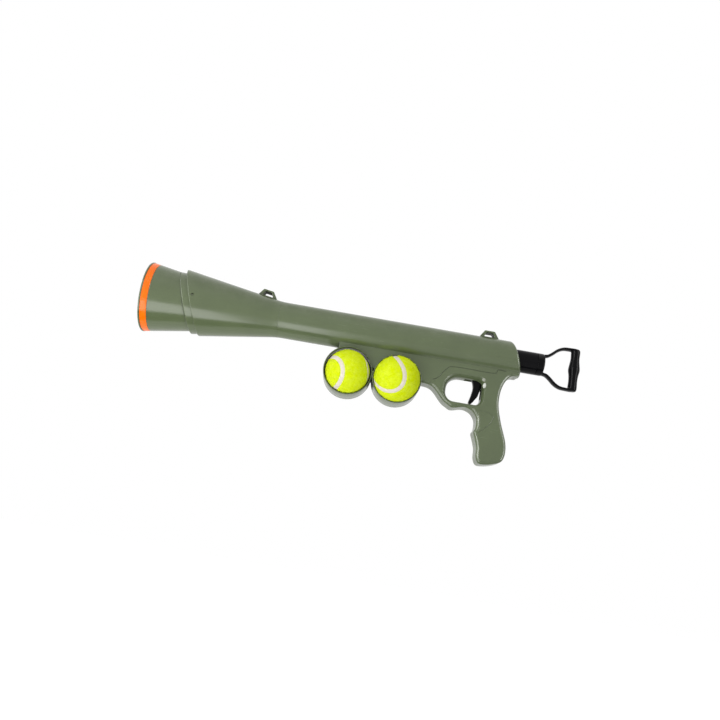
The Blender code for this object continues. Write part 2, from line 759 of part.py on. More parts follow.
def make_ball_holder():
    """Two thin rings on one bridge, each with an inner lip that stops its ball at the back, and a
    keel and a tongue that the housing halves clamp."""
    half = RING_LENGTH / 2
    solids = []
    for station in ring_stations():
        solids.append(turned_across("ring", (station, -RING_DROP), (
            (-half, RING_RADIUS - RING_CHAMFER), (-half + RING_CHAMFER, RING_RADIUS),
            (half - RING_CHAMFER, RING_RADIUS), (half, RING_RADIUS - RING_CHAMFER),
        ), ROUND_SIDES))
    middle = sum(ring_stations()) / 2
    bridge = block(
        "bridge", (middle - BRIDGE_LENGTH / 2, -half + RING_CHAMFER, -RING_DROP - BRIDGE_HEIGHT / 2),
        (middle + BRIDGE_LENGTH / 2, half - RING_CHAMFER, -RING_DROP + BRIDGE_HEIGHT / 2),
    )
    holder = joined(solids[0], bridge, solids[1], keel_block(0.0), tongue_block(0.0))
    holder.name = "ball_holder"
    bore = RING_RADIUS - RING_WALL
    for station in ring_stations():
        cut(holder, turned_across("ring_bore", (station, -RING_DROP), (
            (-half - OVERRUN, bore), (half - RING_STOP, bore), (half - RING_STOP, bore - RING_LIP),
            (half + OVERRUN, bore - RING_LIP),
        ), ROUND_SIDES))
    return holder


def screw_places():
    """Station and height of each housing screw."""
    return [housing_place(shares) for shares in SCREW_SHARES]


def make_housing():
    """The whole housing before it is parted: barrel, web, guard, grip, heel and rear strap lug."""
    housing = make_barrel_blank()
    joined(housing, make_slab())
    joined(housing, make_lug("rear_lug", REAR_LUG_STATION, lambda station: BARREL_RADIUS))
    side = HOUSING_HALF + OVERRUN
    for station in ring_stations():
        cut(housing, crosswise("ring_seat", RING_RADIUS + FIT_GAP, station, -RING_DROP, side))
    half = CHAMBER_WIDTH / 2
    cut(housing, make_bore_cutter(), prism("chamber", chamber_outline(), -half, half), grip_hollow())
    cut(housing, keel_block(FIT_GAP), tongue_block(FIT_GAP))
    hollow_side = HOUSING_HALF - WALL / 2
    low = [place for place in screw_places() if place[1] < -GRIP_HOLLOW_DEPTH]
    bosses = [crosswise("boss", BOSS_RADIUS, *place, hollow_side, SMALL_SIDES) for place in low]
    joined(housing, bundled("bosses", bosses))
    pin_half = PIN_LENGTH / 2 + FIT_GAP
    for station, height in lever_pivots():
        cut(housing, crosswise("pin_hole", LEVER_PIN + PIN_GAP, station, height, pin_half, SMALL_SIDES))
    return housing


def screw_seat():
    """Where the screw heads sit, across the parting plane."""
    return HOUSING_HALF - SCREW_RECESS


def make_half(housing, name, side):
    """One half of the housing, with its screw holes. side is -1 on the left and 1 on the right."""
    half = housing.copy()
    half.data = housing.data.copy()
    half.name = name
    bpy.context.scene.collection.objects.link(half)
    front = -OVERRUN
    back = RECEIVER_STATION + BARREL_RADIUS
    low = -GRIP_REACH - OVERRUN
    high = BARREL_RADIUS + LUG_HEIGHT + OVERRUN
    other = sorted((side * FIT_GAP / 2, -side * (HOUSING_HALF + BARREL_RADIUS)))
    cut(half, block("other_side", (front, other[0], low), (back, other[1], high)))
    seat = screw_seat()
    shank = SCREW_SHANK + SCREW_GAP
    if side > 0:
        head = SCREW_HEAD + HEAD_GAP
        steps = ((-OVERRUN, shank), (seat, shank), (seat, head), (HOUSING_HALF + OVERRUN, head))
    else:
        steps = ((seat - SCREW_LENGTH, shank), (OVERRUN, shank))
    return cut(half, bundled("screw_holes", [turned_across("hole", place, steps) for place in screw_places()]))


def make_screw(name, place):
    """A pan head screw with a square socket, driven along -Y."""
    station, height = place
    seat = screw_seat() + FIT_GAP
    top = seat + SCREW_HEAD_HEIGHT
    tip = seat - SCREW_LENGTH
    screw = turned_across(name, place, (
        (top, SCREW_HEAD - SCREW_SOCKET / 2), (top - SCREW_HEAD_HEIGHT / 2, SCREW_HEAD), (seat, SCREW_HEAD),
        (seat, SCREW_SHANK), (tip + SCREW_SHANK, SCREW_SHANK), (tip, SCREW_SHANK / 2),
    ))
    socket = block("socket", (station - SCREW_SOCKET, top - SCREW_HEAD_HEIGHT / 2, height - SCREW_SOCKET),
                   (station + SCREW_SOCKET, top + OVERRUN, height + SCREW_SOCKET))
    return cut(screw, socket)


def piston_station():
    """Front face of the piston's disc, with the bumper between it and the funnel's tenon."""
    return BARREL_STATION + TENON_LENGTH + FIT_GAP + BUMPER_LENGTH + FIT_GAP


def piston_back():
    """Rear face of the piston's disc."""
    return piston_station() + PISTON_LENGTH


def handle_station():
    """Front face of the pull handle's base."""
    return RECEIVER_STATION + TUBE_SHOWN


def make_bumper():
    """Rubber ring that the piston stops on."""
    front = BARREL_STATION + TENON_LENGTH + FIT_GAP
    inner = NECK_RADIUS
    outer = BORE_RADIUS - FIT_GAP
    profile = ((front, inner), (front, outer), (front + BUMPER_LENGTH, outer), (front + BUMPER_LENGTH, inner))
    return turned("bumper_ring", profile, TUBE_SIDES)


def make_piston():
    """Disc with its seal groove, a stem for the striker pad and a plug for the plunger tube."""
    front = piston_station()
    back = piston_back()
    pad_back = front - STRIKER_REACH + PAD_LENGTH
    rim = BORE_RADIUS - RUN_GAP
    groove = (front + back - SEAL_WIDTH) / 2
    plug = TUBE_RADIUS - TUBE_WALL - FIT_GAP
    profile = [
        (pad_back - PAD_LENGTH / 2, STEM_RADIUS / 2), (pad_back, STEM_RADIUS / 2), (pad_back, STEM_RADIUS),
        (front, STEM_RADIUS), (front, rim), (groove, rim), (groove, rim - SEAL_DEPTH),
        (groove + SEAL_WIDTH, rim - SEAL_DEPTH), (groove + SEAL_WIDTH, rim), (back, rim), (back, plug),
        (back + PLUG_LENGTH, plug),
    ]
    return turned("piston", profile, TUBE_SIDES, closed=False)


def make_piston_seal():
    """Seal ring in the piston's groove."""
    middle = (piston_station() + piston_back()) / 2
    half = SEAL_WIDTH / 2 - FIT_GAP
    rim = BORE_RADIUS - RUN_GAP
    inner = rim - SEAL_DEPTH + FIT_GAP
    crown = BORE_RADIUS - RUN_GAP / 2
    profile = (
        (middle - half, inner), (middle - half, rim - SEAL_DEPTH / 3), (middle - half / 2, crown),
        (middle + half / 2, crown), (middle + half, rim - SEAL_DEPTH / 3), (middle + half, inner),
    )
    return turned("piston_seal", profile, TUBE_SIDES)


def make_striker_pad():
    """Soft dished cap that pushes the ball."""
    front = piston_station() - STRIKER_REACH
    back = front + PAD_LENGTH - FIT_GAP
    pin = STEM_RADIUS / 2 + FIT_GAP
    socket = back - PAD_LENGTH / 2 - FIT_GAP
    profile = [(front + PAD_DISH, PAD_RADIUS / 4), (front, PAD_RADIUS - PAD_ROUND)]
    for step in range(1, EDGE_STEPS + 1):
        angle = math.pi / 2 * step / EDGE_STEPS
        profile.append((front + PAD_ROUND * (1 - math.cos(angle)),
                        PAD_RADIUS - PAD_ROUND + PAD_ROUND * math.sin(angle)))
    profile += [(back, PAD_RADIUS), (back, pin), (socket, pin)]
    return turned("striker_pad", profile, TUBE_SIDES, closed=False)


def make_plunger_tube():
    """Hollow tube with the catch groove that the sear drops into when the plunger is drawn."""
    front = piston_back() + FIT_GAP
    back = handle_station() - FIT_GAP
    inner = TUBE_RADIUS - TUBE_WALL
    catch = SEAR_PIVOT_STATION - SEAR_FRONT + TOOTH_LENGTH / 2 - CATCH_WIDTH / 2 - STROKE + FIT_GAP
    profile = (
        (front, inner), (front, TUBE_RADIUS), (catch, TUBE_RADIUS), (catch, TUBE_RADIUS - CATCH_DEPTH),
        (catch + CATCH_WIDTH, TUBE_RADIUS - CATCH_DEPTH), (catch + CATCH_WIDTH, TUBE_RADIUS),
        (back, TUBE_RADIUS), (back, inner),
    )
    return turned("plunger_tube", profile, TUBE_SIDES)


def oval(centre, along, across, half_along, half_across, sides):
    """A ring of points on an oval in the plane of two directions."""
    return [
        centre + along * half_along * math.cos(math.tau * i / sides)
        + across * half_across * math.sin(math.tau * i / sides)
        for i in range(sides)
    ]


def make_handle_arm(side):
    """One of the two bent straps from the base to the bar."""
    base = handle_station()
    line = [(base + a * HANDLE_REACH, side * h * HANDLE_HALF) for a, h in ARM_SHARES]
    line = [Vector((x, 0.0, z)) for x, z in line]
    across = Vector((0.0, 1.0, 0.0))
    rings = []
    for index, place in enumerate(line):
        ahead = line[min(index + 1, len(line) - 1)] - line[max(index - 1, 0)]
        rings.append(oval(place, ahead.normalized().cross(across), across, ARM_THICK / 2, ARM_DEPTH / 2, ARM_SIDES))
    return lofted("arm", rings)


def make_handle_bar():
    """The hand bar, swelling at its middle between two finger hollows."""
    station = handle_station() + HANDLE_REACH
    rings = []
    for height, width in BAR_SHARES:
        centre = Vector((station, 0.0, height * HANDLE_HALF))
        rings.append(oval(centre, Vector((1.0, 0.0, 0.0)), Vector((0.0, 1.0, 0.0)), width * BAR_WIDTH / 2,
                          width * BAR_DEPTH / 2, BAR_SIDES))
    return lofted("bar", rings)


def make_pull_handle():
    """Base plugged into the tube, two straps and the hand bar, as one moulding."""
    front = handle_station()
    back = front + HANDLE_BASE
    plug = TUBE_RADIUS - TUBE_WALL - FIT_GAP
    profile = [(front - PLUG_LENGTH, plug), (front, plug), (front, TUBE_RADIUS)]
    for step in range(EDGE_STEPS + 1):
        angle = math.pi / 2 * step / EDGE_STEPS
        profile.append((back - HANDLE_BASE_ROUND * (1 - math.sin(angle)),
                        TUBE_RADIUS - HANDLE_BASE_ROUND * (1 - math.cos(angle))))
    handle = turned("pull_handle", profile, TUBE_SIDES, closed=False)
    return joined(handle, make_handle_arm(1), make_handle_arm(-1), make_handle_bar())


def coil(name, start, end, radius, wire, turns, points):
    """A coil spring between two points, as one swept wire."""
    start = Vector(start)
    end = Vector(end)
    axis = (end - start).normalized()
    turn = axis.to_track_quat("Z", "Y").to_matrix()
    run = (end - start).length - wire
    count = turns * points
    rings = []
    for index in range(count + 1):
        share = index / count
        angle = math.tau * turns * share
        out = turn @ Vector((math.cos(angle), math.sin(angle), 0.0))
        forward = turn @ Vector((-math.sin(angle), math.cos(angle), 0.0)) * math.tau * turns * radius + axis * run
        place = start + axis * (wire / 2 + run * share) + out * radius
        rings.append(oval(place, out, forward.normalized().cross(out), wire / 2, wire / 2, WIRE_SIDES))
    print(name, "least gap between turns, mm:", round((run / turns - wire) / MM, 2))
    return lofted(name, rings)


def make_main_spring():
    """The spring round the plunger tube, from the piston to its seat."""
    front = piston_back() + FIT_GAP
    back = SEAT_STATION - FIT_GAP
    return coil("main_spring", (front, 0.0, 0.0), (back, 0.0, 0.0), SPRING_RADIUS, SPRING_WIRE,
                SPRING_TURNS, SPRING_POINTS)


def make_guide_ring(name, front, length):
    """A ring in the bore that the plunger tube slides through."""
    inner = TUBE_RADIUS + RUN_GAP
    outer = BORE_RADIUS - FIT_GAP
    chamfer = RING_CHAMFER
    profile = (
        (front, inner + chamfer), (front, outer - chamfer), (front + chamfer, outer),
        (front + length - chamfer, outer), (front + length, outer - chamfer), (front + length, inner + chamfer),
        (front + length - chamfer, inner), (front + chamfer, inner),
    )
    return turned(name, profile, TUBE_SIDES)


def lever_pivots():
    """Station and height of the sear's pin and of the trigger's pin."""
    return ((SEAR_PIVOT_STATION, -SEAR_PIVOT_DROP), (TRIGGER_PIVOT_STATION, -TRIGGER_PIVOT_DROP))


def make_lever(name, outline, pivot, hub):
    """A flat lever with a round hub and a hole for its pin."""
    half = LEVER_WIDTH / 2
    lever = prism(name, outline, -half, half)
    if hub > 0:
        joined(lever, crosswise("hub", hub, pivot[0], pivot[1], half, SMALL_SIDES))
    side = half + OVERRUN
    return cut(lever, crosswise("hole", LEVER_PIN + PIN_GAP, pivot[0], pivot[1], side, SMALL_SIDES))


def make_sear():
    """Lever whose tooth drops into the tube's catch groove, with a tail over the trigger's lug."""
    x, z = SEAR_PIVOT_STATION, -SEAR_PIVOT_DROP
    under = z - SEAR_UNDER
    top = under + SEAR_BAR
    front = x - SEAR_FRONT
    tip = -TUBE_RADIUS - RUN_GAP
    outline = [
        (front, under), (x + SEAR_REAR, under), (x + SEAR_REAR, top), (front + TOOTH_LENGTH, top),
        (front + TOOTH_LENGTH, tip), (front + TOOTH_LENGTH / 2, tip), (front, top),
    ]
    return make_lever("sear", outline, (x, z), SEAR_HUB)


def make_trigger():
    """Curved finger blade with a toe along the guard's roof and a lug under the sear's tail."""
    x, z = TRIGGER_PIVOT_STATION, -TRIGGER_PIVOT_DROP
    outline = [(x + a * TRIGGER_DEPTH, z - b * TRIGGER_HEIGHT) for a, b in TRIGGER_SHARES]
    return make_lever("trigger", outline, (x, z), 0.0)


def make_pin(name, pivot):
    """A lever's cross pin."""
    return crosswise(name, LEVER_PIN, pivot[0], pivot[1], PIN_LENGTH / 2, SMALL_SIDES)


def make_sear_spring():
    """Small spring that lifts the sear's front end."""
    station = SEAR_PIVOT_STATION - SEAR_FRONT + SEAR_SPRING_INSET
    low = -CHAMBER_FLOOR + FIT_GAP
    high = -SEAR_PIVOT_DROP - SEAR_UNDER - FIT_GAP
    return coil("sear_spring", (station, 0.0, low), (station, 0.0, high), LEVER_SPRING_RADIUS,
                LEVER_SPRING_WIRE, LEVER_SPRING_TURNS, LEVER_SPRING_POINTS)


def make_trigger_spring():
    """Small spring that pushes the trigger forward."""
    height = -TRIGGER_PIVOT_DROP - TRIGGER_SPRING_DROP
    front = TRIGGER_PIVOT_STATION + TRIGGER_SPRING_SHARE * TRIGGER_DEPTH + FIT_GAP
    back = SEAR_PIVOT_STATION + CHAMBER_REAR - FIT_GAP
    return coil("trigger_spring", (front, 0.0, height), (back, 0.0, height), LEVER_SPRING_RADIUS,
                LEVER_SPRING_WIRE, LEVER_SPRING_TURNS, LEVER_SPRING_POINTS)


def make_ball(name, radius, place):
    """A ball, turned round the axis that crosses its ring."""
    rings = []
    for row in range(1, BALL_ROWS):
        angle = math.pi * row / BALL_ROWS
        size = radius * math.sin(angle)
        centre = Vector(place) + Vector((0.0, -radius * math.cos(angle), 0.0))
        rings.append(oval(centre, Vector((1.0, 0.0, 0.0)), Vector((0.0, 0.0, 1.0)), size, size, 2 * BALL_ROWS))
    ball = lofted(name, rings)
    return ball


def ball_places():
    """Centres of the two balls. The smaller one lies on the bottom of its ring."""
    front, rear = ring_stations()
    bottom = -RING_DROP - (RING_RADIUS - RING_WALL)
    return (
        (front, -FRONT_BALL_OUT, bottom + FIT_GAP + FRONT_BALL_RADIUS),
        (rear, -REAR_BALL_OUT, bottom + FIT_GAP + REAR_BALL_RADIUS),
    )


def remove_old():
    """Empties the scene."""
    for old in list(bpy.data.objects):
        bpy.data.objects.remove(old, do_unlink=True)


def build():
    """Makes every piece and hangs it from the bore's empty."""
    remove_old()
    bore = bpy.data.objects.new("bore", None)
    bore.location = (-GRIP_STATION, 0.0, GRIP_DROP)
    bpy.context.scene.collection.objects.link(bore)

    green = material("olive_plastic", GREEN, 0.32, 0.0)
    orange = material("orange_rubber", ORANGE, 0.45, 0.0)
    black = material("black_plastic", BLACK, 0.30, 0.0)
    rubber = material("black_rubber", RUBBER, 0.70, 0.0)
    nylon = material("pale_nylon", NYLON, 0.45, 0.0)
    steel = material("steel", STEEL, 0.30, 1.0)
    felt = material("ball_felt", FELT, 0.95, 0.0)

    finish(make_nozzle(), green, bore)
    finish(make_muzzle_band(), orange, bore)
    finish(make_funnel(), green, bore)
    finish(make_ball_holder(), green, bore)

    housing = make_housing()
    finish(make_half(housing, "housing_left", -1), green, bore)
    finish(make_half(housing, "housing_right", 1), green, bore)
    bpy.data.objects.remove(housing)
    for index, place in enumerate(screw_places()):
        finish(make_screw(f"housing_screw_{index + 1}", place), steel, bore)

    slide = (piston_station(), 0.0, 0.0)
    finish(make_bumper(), rubber, bore)
    finish(make_piston(), black, bore, slide)
    finish(make_piston_seal(), rubber, bore, slide)
    finish(make_striker_pad(), rubber, bore, slide)
    finish(make_plunger_tube(), black, bore, slide)
    finish(make_pull_handle(), black, bore, slide)
    finish(make_main_spring(), steel, bore)
    finish(make_guide_ring("spring_seat", SEAT_STATION, SEAT_LENGTH), nylon, bore)
    finish(make_guide_ring("rear_bush", REAR_FACE - FIT_GAP - BUSH_LENGTH, BUSH_LENGTH), nylon, bore)

    sear_pivot, trigger_pivot = lever_pivots()
    finish(make_sear(), nylon, bore, (sear_pivot[0], 0.0, sear_pivot[1]))
    finish(make_trigger(), black, bore, (trigger_pivot[0], 0.0, trigger_pivot[1]))
    finish(make_pin("sear_pin", sear_pivot), steel, bore)
    finish(make_pin("trigger_pin", trigger_pivot), steel, bore)
    finish(make_sear_spring(), steel, bore)
    finish(make_trigger_spring(), steel, bore)

    front_ball, rear_ball = ball_places()
    finish(make_ball("front_ball", FRONT_BALL_RADIUS, front_ball), felt, bore, front_ball)
    finish(make_ball("rear_ball", REAR_BALL_RADIUS, rear_ball), felt, bore, rear_ball)


build()
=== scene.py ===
"""Looks of a spring-driven launcher for dog tennis balls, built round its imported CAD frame.

The file is laid out as an add-on: property groups hold the sizes and colours, and there is one
operator for the materials, one for each piece or group of pieces, and one for the stage. Lengths
along the bore are stations, measured from the front of the muzzle lip, and heights are measured from
the bore's axis.
"""

import math
import random

import bmesh
import bpy
from mathutils import Euler, Matrix, Vector, noise
from mathutils.kdtree import KDTree


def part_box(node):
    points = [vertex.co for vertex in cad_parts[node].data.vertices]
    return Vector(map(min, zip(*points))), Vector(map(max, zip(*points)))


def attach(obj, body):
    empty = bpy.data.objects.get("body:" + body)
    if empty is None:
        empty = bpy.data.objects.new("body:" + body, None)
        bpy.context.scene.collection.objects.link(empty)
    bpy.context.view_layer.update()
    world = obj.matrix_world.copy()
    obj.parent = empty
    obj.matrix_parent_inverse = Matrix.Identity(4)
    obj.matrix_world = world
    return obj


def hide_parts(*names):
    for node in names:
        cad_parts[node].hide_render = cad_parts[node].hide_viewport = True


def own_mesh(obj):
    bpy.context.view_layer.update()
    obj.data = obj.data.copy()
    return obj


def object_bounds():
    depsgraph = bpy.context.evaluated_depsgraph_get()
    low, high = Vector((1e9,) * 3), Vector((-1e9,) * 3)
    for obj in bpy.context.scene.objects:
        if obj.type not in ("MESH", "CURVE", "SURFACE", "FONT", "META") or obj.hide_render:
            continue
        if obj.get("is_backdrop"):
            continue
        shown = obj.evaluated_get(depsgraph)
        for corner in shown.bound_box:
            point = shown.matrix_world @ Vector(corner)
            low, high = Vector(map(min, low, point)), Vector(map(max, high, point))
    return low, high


bl_info = {
    "name": "Ball launcher looks",
    "version": (1, 0, 0),
    "blender": (4, 5, 0),
    "location": "View3D > Sidebar > Launcher",
    "description": "Detailed pieces, materials and studio for a dog ball launcher",
    "category": "Object",
}

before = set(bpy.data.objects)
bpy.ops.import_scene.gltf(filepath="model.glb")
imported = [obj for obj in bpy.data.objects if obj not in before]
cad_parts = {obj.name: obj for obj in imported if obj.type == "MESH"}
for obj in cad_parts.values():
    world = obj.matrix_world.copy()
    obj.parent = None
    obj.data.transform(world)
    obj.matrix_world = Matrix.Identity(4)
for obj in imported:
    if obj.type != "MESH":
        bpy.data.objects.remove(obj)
CAD_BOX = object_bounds()

MM = 0.001

# The bore's frame, as in the solids
GRIP_STATION = 492.0 * MM
GRIP_DROP = 105.0 * MM
BORE = Vector((-GRIP_STATION, 0.0, GRIP_DROP))
RAKE = 0.34
WALL = 2.5 * MM
ALONG = Vector((1.0, 0.0, 0.0))
ACROSS = Vector((0.0, 1.0, 0.0))
UP = Vector((0.0, 0.0, 1.0))

# Fits
FIT_GAP = 0.3 * MM
RUN_GAP = 0.35 * MM
OVERRUN = 2.0 * MM
JOINT_EASE = 0.06 * MM
JOINT_GAP = 0.07 * MM
HALVES_GAP = 0.08 * MM

# Muzzle
LIP_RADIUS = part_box("nozzle")[1].y
LIP_LENGTH = 2.2 * MM
LIP_ROUND = 0.6 * MM
BAND_LENGTH = 9.0 * MM
BAND_DEPTH = 2.2 * MM
BAND_GAP = 0.15 * MM
BAND_ROUND = 0.5 * MM
BAND_CROWN = 0.12 * MM
GROOVE_EASE = 0.3 * MM
NOZZLE_RADIUS = 46.6 * MM
NOZZLE_TAPER = 0.165
NOZZLE_LENGTH = 53.7 * MM
RIM_ROUND = 1.4 * MM
RIM_LAND = 1.0 * MM
COLLAR_LENGTH = 10.0 * MM
SPIGOT_LENGTH = 12.0 * MM
SPIGOT_EASE = 0.6 * MM
STUD_RADIUS = 1.7 * MM
STUD_HEIGHT = 2.0 * MM
STUD_INSET = 5.5 * MM
STUD_DEPTH = 1.2 * MM
STUD_LENGTH = 5.0 * MM
STUD_DOME = 0.5 * MM
STUD_GAP = 0.25 * MM
# The lip's inner side: depth in mm, share of the way from throat to mouth, and added radius in mm
MOUTH_STEPS_MM = ((3.4, 0.0, 0.0), (2.4, 0.35, 0.0), (0.6, 1.0, -0.3), (0.15, 1.0, 0.1), (0.0, 1.0, 0.6))

# Funnel
FUNNEL_STATION = NOZZLE_LENGTH + COLLAR_LENGTH
FUNNEL_RADIUS = 44.6 * MM
FUNNEL_LENGTH = 123.3 * MM
FUNNEL_LAND = 3.0 * MM
FUNNEL_LEAD = 24.0 * MM
FUNNEL_EASE = 0.6 * MM
FUNNEL_FLARE = 0.5 * MM
TENON_LENGTH = 13.0 * MM
TENON_HEAD = 3.0 * MM
NECK_LEAD = 5.0 * MM
BLEND_LENGTH = 16.0 * MM

# Barrel, receiver and slab
BARREL_RADIUS = -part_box("housing_left")[0].y
BORE_RADIUS = BARREL_RADIUS - WALL
TENON_RADIUS = BORE_RADIUS - 1.7 * MM
NECK_RADIUS = BORE_RADIUS - 3.9 * MM
TUBE_RADIUS = BORE_RADIUS - 7.0 * MM
BARREL_STATION = FUNNEL_STATION + FUNNEL_LENGTH
RECEIVER_STATION = 521.6 * MM
REAR_ROUND = 4.2 * MM
REAR_WALL = 8.0 * MM
REAR_FACE = RECEIVER_STATION - RAKE * BARREL_RADIUS - REAR_WALL
RIB_HEIGHT = 1.9 * MM
RIB_WIDTH = 3.0 * MM
SEAT_STATION = 395.0 * MM
SEAT_END = 401.0 * MM
BUSH_LENGTH = 10.6 * MM
HOUSING_HALF = 15.0 * MM
EDGE_ROUND = 3.0 * MM
# The slab's edge, from its side to its cheek: depth under the cheek and inset, in mm
EDGE_PROFILE_MM = (
    (4.0, 0.0), (3.1, 0.14), (2.35, 0.48), (1.75, 0.95), (1.3, 1.50), (1.0, 2.05), (0.76, 2.60),
    (0.53, 3.15), (0.30, 3.70), (0.0, 3.88),
)
SLAB_TOP = BARREL_RADIUS - 9.2 * MM
GRIP_WIDTH = 44.0 * MM
GRIP_REACH = 153.2 * MM
HOLLOW_SHARE = 0.82
WEB_STATION = 275.0 * MM
WEB_DEPTH = BARREL_RADIUS + 5.8 * MM
WEB_VALLEY = 9.0 * MM
HEEL_DROP = BARREL_RADIUS + 1.6 * MM

# Room for sear and trigger
SEAR_PIVOT = (462.0 * MM, 1.2 * MM - BARREL_RADIUS)
SEAR_FRONT = 34.0 * MM
SEAR_UNDER = 2.1 * MM
TOOTH_LENGTH = 5.6 * MM
TRIGGER_PIVOT = (474.5 * MM, SEAR_PIVOT[1] - 10.0 * MM)
CHAMBER_FLOOR = 12.0 * MM - SEAR_PIVOT[1]
CHAMBER_HALF = 5.3 * MM
CHAMBER_FRONT = 38.0 * MM
CHAMBER_REAR = 27.5 * MM
SLOT_LENGTH = 28.5 * MM
BLADE_SLOT_TOP = 11.4 * MM
BLADE_SLOT_END = 26.0 * MM

# Trigger guard. The rim is the broad flare round its hole.
GUARD_TOP = CHAMBER_FLOOR + 2.6 * MM
GUARD_HEIGHT = 37.0 * MM
GUARD_FLOOR = GUARD_TOP + GUARD_HEIGHT
GUARD_FRONT = 62.9 * MM
GUARD_REAR = 11.6 * MM
GUARD_CORNER_SHARES = (0.47, 0.35, 0.24, 0.24)
RIM_CORNER_SHARES = (0.62, 0.38, 0.26, 0.26)
RIM_DEPTH = 11.5 * MM
RIM_PROUD = 0.2 * MM
RIM_ANGLE = math.radians(78)
RIM_STEPS = 6
# How far the hole's throat and rims lie outside the plain hole, in mm: ahead, above, behind and below
THROAT_GROW_MM = (-0.9, -1.7, -1.4, -1.2)
RIM_GROW_MM = (5.0, 6.2, 2.6, 1.8)

# The lower outline, as shares of the grip's width behind its middle and depth shares: 1 is the
# guard's floor and 2 is the grip's end. The heel's shares are of its own depth.
HOUSING_SHARES = (
    (-2.17, 0.754), (-1.95, 0.770), (-1.77, 0.827), (-1.48, 1.005), (-1.30, 1.070),
    (-1.13, 1.108), (-0.82, 1.066), (-0.64, 1.078), (-0.48, 1.129), (-0.36, 1.238),
    (-0.35, 1.402), (-0.40, 1.467), (-0.33, 1.579), (-0.25, 1.728), (-0.23, 1.893),
    (-0.12, 2.000), (0.11, 2.000), (0.36, 1.964), (0.58, 1.897), (0.66, 1.753),
    (0.62, 1.546), (0.42, 1.238), (0.28, 0.938), (0.28, 0.687), (0.37, 0.496),
)
HEEL_SHARES = ((0.51, 1.07), (0.62, 0.97), (0.79, 0.91))

# Housing screws, with their places as shares like those of the outline
SCREW_SHARES = (
    (-3.765, 0.434), (-2.00, 0.530), (-1.66, 0.709), (0.115, 0.450), (0.11, 0.993),
    (0.02, 1.812), (0.41, 1.743),
)
SCREW_HEAD = 3.0 * MM
SCREW_HEAD_EASE = 0.1 * MM
SCREW_HEAD_SIDE = 0.7 * MM
SCREW_HEAD_RISE = 1.3 * MM
SCREW_SHANK = 1.5 * MM
SCREW_TIP = 0.4 * MM
SCREW_POINT = 2.5 * MM
SCREW_LENGTH = 18.0 * MM
SCREW_RECESS = 5.5 * MM
# The cross recess: half width, half length, and floor and top over the head's seat, in mm
CROSS_MM = (0.45, 1.7, 0.8, 4.0)
SHANK_HOLE = 1.75 * MM
HEAD_HOLE = 3.4 * MM
# How far the flare of a head's hole starts under the cheek and its cutter ends over it, in mm
HOLE_FLARE_MM = (0.4, 0.6)
BOSS_RADIUS = 5.0 * MM
BOSS_GAP = 0.1 * MM

# Line of the panel over the trigger and outline of the palm swell: station and height, in mm
PANEL_LINE_MM = (
    (409.3, -50.6), (416.7, -46.0), (425.9, -32.8), (434.9, -27.9), (463.0, -27.5), (492.4, -27.3),
    (496.5, -21.6), (507.7, -21.9),
)
PALM_MM = (
    (476.9, -83.2), (484.3, -82.4), (491.7, -83.6), (496.4, -85.8), (498.7, -88.7), (497.2, -93.6),
    (494.0, -99.2), (489.6, -103.9), (484.8, -108.6), (480.1, -112.0), (480.6, -106.0), (480.6, -99.0),
    (479.6, -92.5), (477.4, -87.6),
)
PALM_RISE = 0.8 * MM
# The groove of the panel line: half width and depth, in mm
PANEL_GROOVE_MM = (0.35, 0.45)

# Pin caps on both cheeks, whose pale colour is a painted highlight: name, station and height, half
# width, half height, rise and material
CHEEK_CAPS = (
    ("upper_cap", (479.1, -38.8), 2.3, 2.2, 0.35, "grey_cap"),
    ("lower_cap", (480.8, -46.6), 2.2, 3.6, 0.55, "pale_cap"),
)
CAP_ROOT = 1.5 * MM
# The dome of a cap, as shares of its rise and of its width
CAP_DOME = ((0.0, 1.0), (0.3, 0.97), (0.6, 0.84), (0.85, 0.6), (1.0, 0.25))

# Strap lugs
LUG_BASE = 28.6 * MM
LUG_FOOT = 6.8 * MM
LUG_TOP = 14.0 * MM
LUG_HEIGHT = 9.1 * MM
LUG_HALF = 7.0 * MM
LUG_BAR = 2.6 * MM
LUG_ROOT = 1.8 * MM
LUG_ROUND = 0.8 * MM
LUG_CORNERS = (0.3 * MM, 0.3 * MM, 1.6 * MM, 1.6 * MM)
LUG_HOLE_ROUND = 0.6 * MM
LUG_HOLE_CORNERS = (0.7 * MM, 0.7 * MM, 1.0 * MM, 1.0 * MM)
LUG_HOLE_PROUD = 0.1 * MM
FRONT_LUG_STATION = 164.6 * MM
REAR_LUG_STATION = 480.0 * MM

# Ball holder
RING_RADIUS = 33.7 * MM
RING_WALL = 1.5 * MM
RING_HALF = 19.0 * MM
RING_ROUND = 0.7 * MM
RING_FLARE = 0.6 * MM
RING_STOP = 2.0 * MM
RING_LIP = 8.2 * MM
RING_LIP_EASE = 0.5 * MM
RING_SEAT_GAP = 0.15 * MM
RING_SPACING = 67.9 * MM
RING_STATION = 292.8 * MM
RING_DROP = BARREL_RADIUS + RING_RADIUS - 0.2 * MM
RING_PLACES = ((RING_STATION, -RING_DROP), (RING_STATION + RING_SPACING, -RING_DROP))
KEEL_HALF = 2.0 * MM
KEEL_LENGTH = 10.4 * MM
KEEL_STEP = 15.8 * MM
BRIDGE_LENGTH = 5.0 * MM
BRIDGE_HEIGHT = 9.0 * MM
BRIDGE_INSET = 0.5 * MM
TONGUE_OUT = 2.0 * MM
TONGUE_LENGTH = 8.0 * MM
TONGUE_HEIGHT = 9.0 * MM
TONGUE_ANGLE = math.radians(26)

